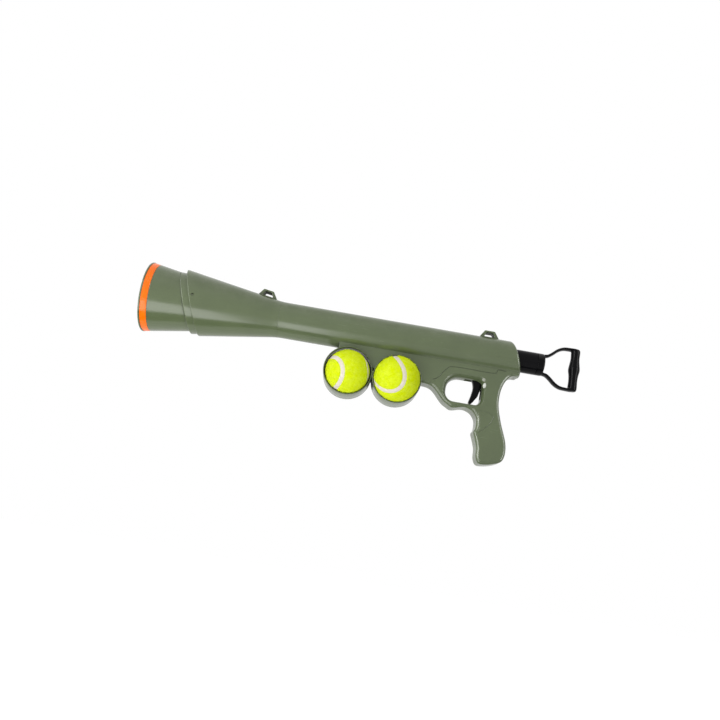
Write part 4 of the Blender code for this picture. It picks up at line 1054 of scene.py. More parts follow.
def tube_material(colour):
    """Black tube with fine sliding lines and scuffs."""
    made, tree, shader = new_material("black_tube", gloss=0.08)
    lines = use_group(tree, "Drawn Lines", Pitch=0.0004)
    surface = use_group(tree, "Moulded Surface", Grain_Size=0.002, Grain_Share=0.3, Mottle_Size=0.04)
    scuffs = use_group(tree, "Scuffs", Length=0.05, Amount=0.6)
    base = mottled(tree, surface, colour, 0.9, 1.25)
    base = tinted(tree, base, scuffs["Mask"], 0.3, shade(colour, 5.0))
    feed(tree, shader.inputs["Base Color"], base)
    feed(tree, shader.inputs["Roughness"], ranged(tree, lines["Height"], 0.3, 0.7, 0.11, 0.19))
    bumped(tree, shader, lines["Height"], 0.05, 0.0001)
    return made


def steel_material(name, colour, pitch, low, high):
    """Plated or drawn steel with fine lines and slight tarnish."""
    made, tree, shader = new_material(name, metallic=1.0)
    lines = use_group(tree, "Drawn Lines", Pitch=pitch)
    surface = use_group(tree, "Moulded Surface", Grain_Size=0.0004, Mottle_Size=0.006)
    rub_and_highlight = use_group(tree, "Edge Rub And Highlight", Width=0.0002, Break_Up=0.3)
    feed(tree, shader.inputs["Base Color"], mottled(tree, surface, colour, 0.82, 1.08))
    feed(tree, shader.inputs["Roughness"], ranged(tree, surface["Mottle"], 0.0, 1.0, low, high))
    bumped(tree, shader, lines["Height"], 0.15, 0.00005, rub_and_highlight["Normal"])
    return made


def nylon_material(name, colour, gloss=0.5):
    """Nylon with a waxy face and paler edges, partly wear from rubbing and partly a painted highlight."""
    made, tree, shader = new_material(name, gloss=gloss)
    surface = use_group(tree, "Moulded Surface", Grain_Size=0.0008, Grain_Share=0.4, Mottle_Size=0.01)
    rub_and_highlight = use_group(tree, "Edge Rub And Highlight", Width=0.0004, Break_Up=0.4)
    base = mottled(tree, surface, colour, 0.92, 1.04)
    # Paler edges: partly wear from rubbing, partly a painted highlight.
    base = tinted(tree, base, rub_and_highlight["Mask"], 0.4, shade(colour, 1.15))
    feed(tree, shader.inputs["Base Color"], base)
    feed(tree, shader.inputs["Roughness"], ranged(tree, surface["Height"], 0.3, 0.7, 0.38, 0.52))
    bumped(tree, shader, surface["Height"], 0.2, 0.0002, rub_and_highlight["Normal"])
    return made


def skin(name):
    """A finished material by its name."""
    return SKINS[name]


# Muzzle and funnel


def nozzle_outer(station):
    """Outer radius of the nozzle's cone."""
    return NOZZLE_RADIUS - NOZZLE_TAPER * (station - LIP_LENGTH - BAND_LENGTH)


def funnel_outer(station):
    """Outer radius of the funnel, which runs into the barrel in one easy curve."""
    slope = (FUNNEL_RADIUS - BARREL_RADIUS) / FUNNEL_LENGTH
    left = BARREL_STATION + BLEND_LENGTH / 2 - station
    if left <= 0:
        return BARREL_RADIUS
    if left < BLEND_LENGTH:
        return BARREL_RADIUS + slope * left * left / (2 * BLEND_LENGTH)
    return BARREL_RADIUS + slope * (BARREL_STATION - station)


def funnel_inner(station):
    """Inner radius of the funnel."""
    return funnel_outer(station) - WALL


def collar_outer(station):
    """Outer radius of the collar and of the spigot inside the funnel."""
    return funnel_inner(max(station, FUNNEL_STATION)) - FIT_GAP


def stud_pin(radius, start, end, dome=0.0):
    """A round pin across the bore, with an optional domed end."""
    steps = [(start, radius)]
    for share in (0.0, 0.5, 0.8, 0.97):
        steps.append((end - dome * (1 - share), radius * math.sqrt(max(0.0, 1 - share * share))))
    return turned_across("pin", (FUNNEL_STATION + STUD_INSET, STUD_HEIGHT), steps)


def raked_rim(front, outer):
    """Rings of a raked rim with a rounded edge, on a surface of the given outer radius."""
    return [hoop(front + run, lambda at, drop=drop: outer(at) - drop, rake=RAKE)
            for run, drop in round_over(RIM_ROUND, 6)]


def nozzle_shape():
    """Front cone with a rounded lip, the band's groove, a raked collar and the spigot."""
    groove = LIP_LENGTH + BAND_LENGTH
    floor = nozzle_outer(groove) - BAND_DEPTH
    rings = [hoop(run, LIP_RADIUS - drop) for run, drop in round_over(LIP_ROUND)]
    rings += [hoop(station, radius) for station, radius in (
        (LIP_LENGTH - GROOVE_EASE, LIP_RADIUS), (LIP_LENGTH, LIP_RADIUS - GROOVE_EASE),
        (LIP_LENGTH, floor), (groove, floor),
        (groove, nozzle_outer(groove) - GROOVE_EASE), (groove + GROOVE_EASE, nozzle_outer(groove)))]
    for station in (NOZZLE_LENGTH - RIM_LAND, NOZZLE_LENGTH):
        rings.append(hoop(station, nozzle_outer, rake=RAKE))
    rings += raked_rim(NOZZLE_LENGTH, collar_outer)
    end = FUNNEL_STATION + SPIGOT_LENGTH
    for station in (FUNNEL_STATION - RIM_LAND, end - SPIGOT_EASE):
        rings.append(hoop(station, collar_outer, rake=RAKE))
    rings.append(hoop(end, lambda at: collar_outer(at) - SPIGOT_EASE, rake=RAKE))
    rings.append(hoop(end, lambda at: collar_outer(at) - WALL, rake=RAKE))
    rings.append(hoop(NOZZLE_LENGTH, lambda at: nozzle_outer(at) - WALL, rake=RAKE))
    throat = floor - WALL
    mouth = LIP_RADIUS - WALL - LIP_ROUND
    for depth, share, more in MOUTH_STEPS_MM:
        rings.append(hoop(depth * MM, throat + share * (mouth - throat) + more * MM))
    made = lofted("muzzle_nozzle", rings, closed=True)
    top = funnel_outer(FUNNEL_STATION + STUD_INSET) - STUD_DEPTH
    for side in (-1, 1):
        joined(made, stud_pin(STUD_RADIUS, side * (top - STUD_LENGTH), side * top, side * STUD_DOME))
    return made


def band_shape():
    """The soft band in the nozzle's groove, slightly crowned."""
    front = LIP_LENGTH + BAND_GAP
    back = LIP_LENGTH + BAND_LENGTH - BAND_GAP
    inner = nozzle_outer(back) - BAND_DEPTH + FIT_GAP
    profile = [(front, inner)]
    edge = round_over(BAND_ROUND, 3)
    profile += [(front + run, nozzle_outer(front + run) - drop) for run, drop in edge]
    middle = (front + back) / 2
    profile.append((middle, nozzle_outer(middle) + BAND_CROWN))
    profile += [(back - run, nozzle_outer(back - run) - drop) for run, drop in reversed(edge)]
    profile.append((back, inner))
    return turned("muzzle_band_ring", profile, ROUND_SIDES)


def over_surface(station, surface, spots):
    """(station, height) pairs from runs beside a station and lifts over a round surface."""
    return [(station + run, surface(station + run) + lift) for run, lift in spots]


def lug_shape(name, station, surface):
    """A strap lug with rounded bars standing on a round surface."""
    base, top = LUG_BASE / 2, LUG_TOP / 2
    outline = over_surface(station, surface, (
        (-base, -LUG_ROOT), (base, -LUG_ROOT), (top, LUG_HEIGHT), (-top, LUG_HEIGHT)))
    made = rounded_prism(name, filleted(outline, LUG_CORNERS, 5), LUG_HALF, LUG_ROUND, steps=3)
    foot, bar, lift = base - LUG_FOOT, top - LUG_BAR, LUG_HEIGHT - LUG_BAR
    hole = over_surface(station, surface, ((-foot, FIT_GAP), (foot, FIT_GAP), (bar, lift), (-bar, lift)))
    hole = filleted(hole, LUG_HOLE_CORNERS, 4)
    half = LUG_HALF + LUG_HOLE_PROUD
    return cut(made, rounded_prism("hole", hole, half, LUG_HOLE_ROUND, flare=True, steps=3))


def funnel_shape():
    """Long cone with a raked, rounded front edge, the neck, the tenon and the front strap lug."""
    front = FUNNEL_STATION + FIT_GAP
    tenon = BARREL_STATION + TENON_LENGTH
    neck = BARREL_STATION - NECK_LEAD
    lead = neck - NECK_LEAD
    rings = raked_rim(front, funnel_outer)
    rings.append(hoop(front + FUNNEL_LAND, funnel_outer, rake=RAKE))
    start = front + FUNNEL_LEAD
    end = BARREL_STATION - BLEND_LENGTH / 2
    for step in range(5):
        rings.append(hoop(start + (end - start) * step / 4, funnel_outer))
    for share in (0.25, 0.5, 0.75, 0.96):
        rings.append(hoop(end + BLEND_LENGTH / 2 * share, funnel_outer))
    lip = funnel_outer(BARREL_STATION) - JOINT_EASE
    rings += [hoop(station, radius) for station, radius in (
        (BARREL_STATION, lip), (BARREL_STATION, TENON_RADIUS), (tenon - TENON_HEAD, TENON_RADIUS),
        (tenon - TENON_HEAD, BORE_RADIUS - FIT_GAP), (tenon, BORE_RADIUS - FIT_GAP), (tenon, NECK_RADIUS),
        (neck, NECK_RADIUS), (neck - NECK_LEAD / 2, (NECK_RADIUS + funnel_inner(lead)) / 2),
        (lead, funnel_inner(lead)), (start, funnel_inner(start)))]
    rings.append(hoop(front + FUNNEL_EASE, funnel_inner, rake=RAKE))
    rings.append(hoop(front, lambda at: funnel_inner(at) + FUNNEL_FLARE, rake=RAKE))
    made = lofted("ball_funnel", rings, closed=True)
    joined(made, lug_shape("front_strap_lug", FRONT_LUG_STATION, funnel_outer))
    out = FUNNEL_RADIUS + OVERRUN
    deep = funnel_inner(FUNNEL_STATION + STUD_INSET) - OVERRUN
    for side in (-1, 1):
        cut(made, stud_pin(STUD_RADIUS + STUD_GAP, side * deep, side * out))
    return made


# Housing


def housing_place(across, depth):
    """A (station, height) pair from a share of the grip's width and a depth share."""
    guard = min(depth, 1.0) * GUARD_FLOOR
    grip = max(depth - 1.0, 0.0) * (GRIP_REACH - GUARD_FLOOR)
    return (GRIP_STATION + across * GRIP_WIDTH, -guard - grip)


def housing_outline(steps=4):
    """Web, guard, grip and heel as one closed outline."""
    (front, low), (rear, _) = RING_PLACES
    web = [(WEB_STATION, -SLAB_TOP), (WEB_STATION, -WEB_DEPTH), (front, low),
           ((front + rear) / 2, low + WEB_VALLEY), (rear, low)]
    lower = [housing_place(*shares) for shares in HOUSING_SHARES]
    lower += [(GRIP_STATION + across * GRIP_WIDTH, -down * HEEL_DROP) for across, down in HEEL_SHARES]
    lower.append((RECEIVER_STATION + RAKE * SLAB_TOP - REAR_ROUND, -SLAB_TOP))
    return web + smoothed(lower, steps)


def guard_opening():
    """The trigger guard's hole with its broad flared rim, widest at the top, as a cutter."""
    left, right = GRIP_STATION - GUARD_FRONT, GRIP_STATION - GUARD_REAR
    outlines = []
    for grow, shares in ((THROAT_GROW_MM, GUARD_CORNER_SHARES), (RIM_GROW_MM, RIM_CORNER_SHARES)):
        ahead, above, behind, below = (part * MM for part in grow)
        outline = [(left - ahead, above - GUARD_TOP), (left - ahead, -GUARD_FLOOR - below),
                   (right + behind, -GUARD_FLOOR - below), (right + behind, above - GUARD_TOP)]
        outlines.append(filleted(outline, [share * GUARD_HEIGHT for share in shares]))
    levels = []
    for step in range(RIM_STEPS + 1):
        angle = RIM_ANGLE * step / RIM_STEPS
        depth = HOUSING_HALF + RIM_PROUD - RIM_DEPTH * (1 - math.sin(angle))
        levels.append((depth, 1 - math.cos(angle)))
    levels.append((HOUSING_HALF + OVERRUN, 1.0))
    rings = []
    for depth, share in [(-depth, share) for depth, share in reversed(levels)] + levels:
        rings.append([Vector((a[0] + (b[0] - a[0]) * share, depth, a[1] + (b[1] - a[1]) * share))
                      for a, b in zip(*outlines)])
    return lofted("opening", rings)


def panel_groove(side):
    """A thin groove along the panel line on one cheek, as a cutter."""
    half_width, deep = PANEL_GROOVE_MM
    line = [Vector((x * MM, z * MM)) for x, z in PANEL_LINE_MM]
    line = [Vector(point) for point in smoothed(line, 4)]
    near, far = [], []
    for index, spot in enumerate(line):
        along = (line[min(index + 1, len(line) - 1)] - line[max(index - 1, 0)]).normalized()
        across = Vector((-along.y, along.x)) * half_width * MM
        near.append(tuple(spot + across))
        far.append(tuple(spot - across))
    depths = sorted((side * (HOUSING_HALF - deep * MM), side * (HOUSING_HALF + OVERRUN)))
    return prism("panel_groove", near + far[::-1], *depths)


def palm_swell():
    """The low raised leaf at the top of both grip cheeks."""
    outline = smoothed([(x * MM, z * MM) for x, z in PALM_MM], 3, closed=True)
    return rounded_prism("palm_swell", outline, HOUSING_HALF + PALM_RISE, PALM_RISE, steps=4)


def cheek_cap(name, place, half_along, half_up, rise, side):
    """A domed pin cap, pale as a painted highlight, that stands a little proud of one cheek."""
    rings = []
    for depth, share in [(-CAP_ROOT, 1.0)] + [(up * rise, share) for up, share in CAP_DOME]:
        centre = Vector((place[0], side * (HOUSING_HALF + depth), place[1]))
        rings.append(oval(centre, ALONG, UP, half_along * share, half_up * share, CAP_SIDES))
    return lofted(name, rings)


def barrel_blank():
    """The barrel's outside with its easy curve at the funnel and its raked, rounded rear end."""
    front = BARREL_STATION + JOINT_GAP
    rings = [hoop(front, funnel_outer(front) - JOINT_EASE)]
    for share in (0.03, 0.25, 0.5, 0.75, 1.0):
        at = front + BLEND_LENGTH / 2 * share
        rings.append(hoop(at, funnel_outer(at)))
    for run, drop in reversed(round_over(REAR_ROUND, 5)):
        rings.append(hoop(RECEIVER_STATION - run, BARREL_RADIUS - drop, rake=RAKE))
    return lofted("barrel_blank", rings)


def bore_cutter():
    """Tenon seat, bore, ribs and the tube's way out, as one cutter."""
    rib = BORE_RADIUS - RIB_HEIGHT
    seat = SEAT_END + FIT_GAP
    bush = REAR_FACE - 2 * FIT_GAP - BUSH_LENGTH
    tenon = BARREL_STATION + TENON_LENGTH - TENON_HEAD - FIT_GAP
    way = TUBE_RADIUS + RUN_GAP
    end = RECEIVER_STATION + RAKE * BARREL_RADIUS + OVERRUN
    profile = [
        (BARREL_STATION - OVERRUN, TENON_RADIUS + FIT_GAP), (tenon, TENON_RADIUS + FIT_GAP),
        (tenon, BORE_RADIUS), (seat, BORE_RADIUS), (seat, rib), (seat + RIB_WIDTH, rib),
        (seat + RIB_WIDTH, BORE_RADIUS), (bush - RIB_WIDTH, BORE_RADIUS), (bush - RIB_WIDTH, rib),
        (bush, rib), (bush, BORE_RADIUS), (REAR_FACE, BORE_RADIUS), (REAR_FACE, way), (end, way)]
    return turned("bore_cutter", profile, closed=False)


def chamber_cutter():
    """Room for sear and trigger, open to the guard, with a slot for the pulled blade in the guard's
    rear wall."""
    front, rear = SEAR_PIVOT[0] - CHAMBER_FRONT, SEAR_PIVOT[0] + CHAMBER_REAR
    slot = rear - CHAMBER_REAR / 4 - SLOT_LENGTH
    open_to = GUARD_TOP + 1.5 * EDGE_ROUND
    step = GRIP_STATION - GUARD_REAR - 2 * EDGE_ROUND
    roof, foot = -GUARD_TOP - BLADE_SLOT_TOP, -GUARD_TOP - BLADE_SLOT_END
    back = GRIP_STATION - GUARD_REAR + FIT_GAP
    outline = [(front, -SLAB_TOP), (front, -CHAMBER_FLOOR), (slot, -CHAMBER_FLOOR), (slot, -open_to),
               (step, -open_to), (step, foot), (back, foot), (back, roof), (rear, roof), (rear, -SLAB_TOP)]
    return prism("chamber", outline, -CHAMBER_HALF, CHAMBER_HALF)


def grip_hollow():
    """The hollow of the grip, one wall inside its outline."""
    inside = grown(housing_outline(2), -WALL - EDGE_ROUND / 2)
    top = -HOLLOW_SHARE * GUARD_FLOOR
    wall = GRIP_STATION - GUARD_REAR + EDGE_ROUND + WALL
    floor = -GUARD_FLOOR - WALL
    front = [at for at in inside if at[1] < floor - WALL - EDGE_ROUND and at[0] < GRIP_STATION]
    rear = [at for at in inside if at[1] < top - WALL and at[0] > GRIP_STATION]
    outline = [(wall, top), (wall, floor)] + front + rear + [(rear[-1][0], top)]
    return prism("grip_hollow", outline, WALL - HOUSING_HALF, HOUSING_HALF - WALL)


def keel_block(gap):
    """The ball holder's keel, or the slot for it."""
    middle = sum(place[0] for place in RING_PLACES) / 2
    side, half = KEEL_LENGTH / 2 + gap, KEEL_HALF + gap
    top = gap - BARREL_RADIUS - KEEL_STEP
    return block("keel", (middle - side, -half, -RING_DROP), (middle + side, half, top))


def tongue_block(gap):
    """The ball holder's rear tongue, or the slot for it."""
    reach = RING_RADIUS + TONGUE_OUT
    station = RING_PLACES[1][0] + reach * math.cos(TONGUE_ANGLE)
    height = -RING_DROP + reach * math.sin(TONGUE_ANGLE)
    along, half, up = TONGUE_LENGTH / 2 + gap, KEEL_HALF + gap, TONGUE_HEIGHT / 2 + gap
    return block("tongue", (station - along, -half, height - up), (station + along, half, height + up))


def housing_blank():
    """The whole housing before it is parted into its two halves."""
    profile = [(depth * MM, move * MM) for depth, move in EDGE_PROFILE_MM]
    made = joined(barrel_blank(), shouldered_prism("slab", housing_outline(), HOUSING_HALF, profile))
    joined(made, palm_swell(), lug_shape("rear_strap_lug", REAR_LUG_STATION, lambda at: BARREL_RADIUS))
    side, seat = HOUSING_HALF + OVERRUN, RING_RADIUS + RING_SEAT_GAP
    for place in RING_PLACES:
        cut(made, turned_across("seat", place, ((-side, seat), (side, seat)), ROUND_SIDES))
    cut(made, guard_opening(), bore_cutter(), chamber_cutter(), keel_block(FIT_GAP), tongue_block(FIT_GAP))
    for side in (-1, 1):
        cut(made, panel_groove(side))
    return made


def screw_places():
    """Station and height of each housing screw."""
    return [housing_place(*shares) for shares in SCREW_SHARES]


def screw_hole_steps(side):
    """(depth, radius) pairs of a screw's hole in one half: through on the right, blind on the left."""
    seat = HOUSING_HALF - SCREW_RECESS
    if side < 0:
        return ((seat - SCREW_LENGTH, SHANK_HOLE), (OVERRUN, SHANK_HOLE))
    under, over = HOLE_FLARE_MM
    return ((-OVERRUN, SHANK_HOLE), (seat, SHANK_HOLE), (seat, HEAD_HOLE),
            (HOUSING_HALF - under * MM, HEAD_HOLE),
            (HOUSING_HALF + over * MM, HEAD_HOLE + (under + over) * MM))


def housing_half(blank, name, side):
    """One half of the housing, with its screw holes. side is -1 on the left and 1 on the right."""
    half = linked(name, blank.data.copy())
    near, far = sorted((side * HALVES_GAP, -side * 2 * BARREL_RADIUS))
    low, high = -GRIP_REACH - OVERRUN, BARREL_RADIUS + LUG_HEIGHT + OVERRUN
    other = block("other_side", (0.0, near, low), (RECEIVER_STATION + BARREL_RADIUS, far, high))
    cut(half, other, grip_hollow())
    for place in screw_places():
        if place[1] < -HOLLOW_SHARE * GUARD_FLOOR:
            ends = (side * BOSS_GAP, side * (HOUSING_HALF - WALL / 2))
            joined(half, turned_across("boss", place, [(depth, BOSS_RADIUS) for depth in ends]))
    steps = screw_hole_steps(side)
    holes = [turned_across("hole", place, steps, HOLE_SIDES) for place in screw_places()]
    cut(half, bundled("screw_holes", holes))
    return half


def screw_shape(name, place):
    """A pan head screw with a cross recess and a pointed shank."""
    seat = HOUSING_HALF - SCREW_RECESS + FIT_GAP
    tip = seat - SCREW_LENGTH
    steps = [(tip, SCREW_TIP), (tip + SCREW_POINT, SCREW_SHANK), (seat, SCREW_SHANK),
             (seat, SCREW_HEAD - SCREW_HEAD_EASE), (seat + 1.5 * SCREW_HEAD_EASE, SCREW_HEAD)]
    for share in (0.0, 0.35, 0.65, 0.85, 0.97):
        radius = SCREW_HEAD * math.sqrt(1 - share * share * 0.97)
        steps.append((seat + SCREW_HEAD_SIDE + SCREW_HEAD_RISE * share, radius))
    made = turned_across(name, place, steps)
    half, reach, floor, top = (part * MM for part in CROSS_MM)
    for across, along in ((half, reach), (reach, half)):
        cut(made, block("cross", (place[0] - across, seat + floor, place[1] - along),
                        (place[0] + across, seat + top, place[1] + along)))
    return made


# Ball holder and balls


def holder_shape():
    """Two thin rings with rounded rims on one bridge, with the keel and the tongue."""
    edge = round_over(RING_ROUND, 4)
    rings = []
    for place in RING_PLACES:
        steps = [(-RING_HALF + run, RING_RADIUS - drop) for run, drop in edge]
        steps += [(RING_HALF - run, RING_RADIUS - drop) for run, drop in reversed(edge)]
        rings.append(turned_across("ring", place, steps, ROUND_SIDES))
    middle = sum(place[0] for place in RING_PLACES) / 2
    along, half, low = BRIDGE_LENGTH / 2, RING_HALF - BRIDGE_INSET, -RING_DROP - BRIDGE_HEIGHT / 2
    bridge = block("bridge", (middle - along, -half, low), (middle + along, half, low + BRIDGE_HEIGHT))
    made = joined(rings[0], bridge, rings[1], keel_block(0.0), tongue_block(0.0))
    made.name = "twin_ball_rings"
    bore, stop = RING_RADIUS - RING_WALL, RING_HALF - RING_STOP
    lip = bore - RING_LIP
    steps = [(-RING_HALF - OVERRUN, bore + RING_FLARE)]
    steps += [(-RING_HALF + run, bore + drop) for run, drop in edge]
    steps += [(stop, bore), (stop, lip + RING_LIP_EASE), (stop + RING_LIP_EASE, lip),
              (RING_HALF + OVERRUN, lip)]
    for place in RING_PLACES:
        cut(made, turned_across("ring_bore", place, steps, ROUND_SIDES))
    return made


def seam_directions(turn, count):
    """Directions from the ball's middle to the points of its seam."""
    a, b = SEAM_SHARE, 1 - SEAM_SHARE
    lift = 2 * math.sqrt(a * b)
    matrix = Euler([math.radians(angle) for angle in turn]).to_matrix()
    line = []
    for index in range(count):
        t = math.tau * index / count
        across = a * math.cos(t) + b * math.cos(3 * t)
        along = a * math.sin(t) - b * math.sin(3 * t)
        line.append((matrix @ Vector((across, along, lift * math.sin(2 * t)))).normalized())
    return line


def ball_middle(node):
    """Middle and radius of a ball's solid, in the bore's frame."""
    low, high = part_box(node)
    return (low + high) / 2 - BORE, (high.x - low.x) / 2


def add_fibre(shape, root, way, tip, thick):
    """A thin three-sided spike on the felt."""
    side = way.orthogonal().normalized()
    other = way.cross(side)
    end = shape.verts.new(tip)
    foot = [shape.verts.new(root + side * thick * math.cos(a) + other * thick * math.sin(a))
            for a in (0.0, math.tau / 3, math.tau * 2 / 3)]
    for index in range(3):
        shape.faces.new((foot[index], foot[(index + 1) % 3], end))
    shape.faces.new(foot[::-1])


def felt_shape(name, node, turn, sizes, seed):
    """A felt-covered ball: crowned cover, a channel along the seam, and loose fibres all over."""
    middle, radius = ball_middle(node)
    line = seam_directions(turn, CHANNEL_POINTS)
    tree = KDTree(len(line))
    for index, spot in enumerate(line):
        tree.insert(spot, index)
    tree.balance()
    half = sizes.seam_width / 2

    def surface(way):
        """The felt's radius in a direction, and how far it is out of the seam's channel."""
        away = tree.find(way)[2] * radius
        fade = min(max((away - half) / CHANNEL_EASE, 0.0), 1.0)
        fade = fade * fade * (3 - 2 * fade)
        swell = sum(noise.noise(way * rate) * size * MM for rate, size in FELT_SWELLS_MM)
        return radius - CHANNEL_DEPTH * (1 - fade) + swell * fade - FELT_SINK, fade

    shape = bmesh.new()
    bmesh.ops.create_cube(shape, size=2.0)
    bmesh.ops.subdivide_edges(shape, edges=shape.edges, cuts=FELT_CUTS, use_grid_fill=True)
    for vertex in shape.verts:
        way = Vector([math.tan(part * math.pi / 4) for part in vertex.co]).normalized()
        vertex.co = middle + way * surface(way)[0]
    rolls = random.Random(seed)
    for _ in range(sizes.fibre_count):
        way = Vector((rolls.gauss(0, 1), rolls.gauss(0, 1), rolls.gauss(0, 1))).normalized()
        depth, fade = surface(way)
        if fade < FIBRE_EDGE:
            continue
        lean = Vector((rolls.gauss(0, 1), rolls.gauss(0, 1), rolls.gauss(0, 1))) * FIBRE_LEAN
        tip_way = (way + lean * FIBRE_BEND).normalized()
        thick = rolls.uniform(*FIBRE_THICK_MM) * MM
        length = sizes.fibre_length * rolls.uniform(*FIBRE_SHARES)
        root = middle + way * (depth - FIBRE_ROOT)
        if root.y < -RING_HALF and noise.noise(way * TUFT_RATE) > TUFT_LEVEL:
            length *= TUFT_LONGER
            thick *= TUFT_THICKER
        tip = root + (way * FIBRE_STANDING + tip_way * FIBRE_LEANING) * length
        add_fibre(shape, root, way, tip, thick)
    mesh = bpy.data.meshes.new(name)
    shape.to_mesh(mesh)
    shape.free()
    return linked(name, mesh)


def seam_shape(name, node, turn, sizes):
    """The pale rubber seam that lies in the felt's channel."""
    middle, radius = ball_middle(node)
    line = seam_directions(turn, SEAM_POINTS)
    rings = []
    for index, way in enumerate(line):
        along = (line[(index + 1) % len(line)] - line[index - 1]).normalized()
        across = along.cross(way).normalized()
        wobble = 1 + SEAM_WOBBLE * noise.noise(way * SEAM_WOBBLE_RATE)
        half = sizes.seam_width / 2 * wobble + SEAM_EDGE
        centre = middle + way * (radius - SEAM_SINK)
        rings.append(oval(centre, across, way, half, SEAM_THICK, SEAM_SIDES))
    return lofted(name, rings, closed=True)


# Plunger, trigger and springs


def pad_shape():
    """Soft dished striker with two grip rings on its side."""
    back = PAD_STATION + PAD_LENGTH - FIT_GAP
    socket = STEM_RADIUS / 2 + FIT_GAP
    profile = [(PAD_STATION + PAD_EYE[0], PAD_EYE[1])]
    profile += [(PAD_STATION + depth * MM, PAD_RADIUS * share) for depth, share in PAD_DISH_MM]
    profile += [(PAD_STATION + PAD_ROUND * (1 - math.cos(a)), PAD_RADIUS - PAD_ROUND * (1 - math.sin(a)))
                for a in (math.pi / 2 * i / 6 for i in range(7))]
    for at in PAD_GROOVES:
        profile += [(PAD_STATION + at + run * MM, PAD_RADIUS - drop * MM) for run, drop in PAD_GROOVE_MM]
    profile += [(back - PAD_EASE, PAD_RADIUS), (back, PAD_RADIUS - PAD_EASE), (back, socket),
                (back - PAD_SOCKET, socket)]
    return turned("soft_striker", profile, closed=False)


def tube_shape():
    """The plunger tube with its catch groove."""
    front, back = PISTON_BACK + FIT_GAP, HANDLE_STATION - PLUG_GAP
    inner = TUBE_RADIUS - TUBE_WALL
    tooth = SEAR_PIVOT[0] - SEAR_FRONT + TOOTH_LENGTH / 2
    catch = tooth - CATCH_WIDTH / 2 - STROKE + FIT_GAP
    rear = catch + CATCH_WIDTH
    floor = TUBE_RADIUS - CATCH_DEPTH
    eased = TUBE_RADIUS - TUBE_EASE
    return turned("draw_tube", (
        (front, inner), (front, eased), (front + TUBE_EASE, TUBE_RADIUS), (catch - TUBE_EASE, TUBE_RADIUS),
        (catch, eased), (catch, floor), (rear, floor), (rear, eased), (rear + TUBE_EASE, TUBE_RADIUS),
        (back - TUBE_EASE, TUBE_RADIUS), (back, eased), (back, inner)))


def handle_arm(side):
    """One bent strap of the pull handle, above the tube or below it."""
    line = [(HANDLE_STATION + a * HANDLE_REACH, side * h * HANDLE_HALF) for a, h in ARM_SHARES]
    line = [Vector((x, 0.0, z)) for x, z in smoothed(line, 3)]
    rings = []
    for index, spot in enumerate(line):
        ahead = (line[min(index + 1, len(line) - 1)] - line[max(index - 1, 0)]).normalized()
        rings.append(oval(spot, ahead.cross(ACROSS), ACROSS, ARM_HALF_THICK, ARM_HALF_DEPTH, ARM_SIDES))
    return lofted("arm", rings)


def handle_bar():
    """The hand bar, thickest in its middle."""
    rings = []
    for height, width in smoothed(BAR_SHARES, 3):
        centre = Vector((HANDLE_STATION + HANDLE_REACH, 0.0, height * HANDLE_HALF))
        half_width, half_depth = width * BAR_HALF_WIDTH, width * BAR_HALF_DEPTH
        rings.append(oval(centre, ALONG, ACROSS, half_width, half_depth, BAR_SIDES))
    return lofted("bar", rings)


def handle_shape():
    """Base plugged into the tube, two bent straps and the hand bar, melted into one moulding."""
    back = HANDLE_STATION + HANDLE_BASE
    plug = TUBE_RADIUS - TUBE_WALL - FIT_GAP
    profile = [(HANDLE_STATION - PLUG_LENGTH, plug), (HANDLE_STATION, plug), (HANDLE_STATION, TUBE_RADIUS)]
    edge = round_over(HANDLE_BASE_ROUND, 4)
    profile += [(back - run, TUBE_RADIUS - drop) for run, drop in reversed(edge)]
    solids = [turned("base", profile, closed=False), handle_arm(-1), handle_arm(1), handle_bar()]
    made = bundled("pull_grip", solids)
    skinned = made.modifiers.new("skin", "REMESH")
    skinned.mode = "VOXEL"
    skinned.voxel_size = HANDLE_VOXEL
    skinned.adaptivity = 0.0
    eased = made.modifiers.new("ease", "SMOOTH")
    eased.factor = 0.5
    eased.iterations = HANDLE_PASSES
    return applied(made)


def trigger_shape():
    """Curved finger blade with rounded edges, its toe, its lug and its pin hole."""
    line = [(TRIGGER_PIVOT[0] + a * TRIGGER_DEPTH, TRIGGER_PIVOT[1] - b * TRIGGER_HEIGHT)
            for a, b in TRIGGER_SHARES]
    outline = smoothed(line, 2, closed=True)
    made = rounded_prism("trigger_blade", outline, TRIGGER_HALF, TRIGGER_ROUND, steps=3)
    hole = ((-PIN_HOLE_REACH, PIN_HOLE), (PIN_HOLE_REACH, PIN_HOLE))
    return cut(made, turned_across("pin_hole", TRIGGER_PIVOT, hole))


def spring_shape(name, start, end, radius, wire, turns):
    """A coil spring of round wire between two points."""
    start, end = Vector(start), Vector(end)
    axis = (end - start).normalized()
    turn = axis.to_track_quat("Z", "Y").to_matrix()
    run = (end - start).length - wire
    spots = []
    count = turns * COIL_POINTS
    for index in range(count + 1):
        share = index / count
        angle = math.tau * turns * share
        out = turn @ Vector((math.cos(angle), math.sin(angle), 0.0))
        spots.append((start + axis * (wire / 2 + run * share) + out * radius, out))
    rings = []
    for index, (spot, out) in enumerate(spots):
        ahead = (spots[min(index + 1, len(spots) - 1)][0] - spots[max(index - 1, 0)][0]).normalized()
        rings.append(oval(spot, out, ahead.cross(out), wire / 2, wire / 2, WIRE_SIDES))
    return lofted(name, rings)


# Settings


class LauncherSizes(bpy.types.PropertyGroup):
    """Sizes of the fine details."""

    seam_width: bpy.props.FloatProperty(
        name="Ball seam width", description="Width of the pale seam on the tennis balls", default=5.4 * MM,
        unit="LENGTH", subtype="DISTANCE")
    fibre_length: bpy.props.FloatProperty(
        name="Felt fibre length", description="Longest loose fibre on the tennis balls", default=1.0 * MM,
        unit="LENGTH", subtype="DISTANCE")
    fibre_count: bpy.props.IntProperty(
        name="Felt fibres", description="Number of loose fibres on each ball", default=5200, min=0)


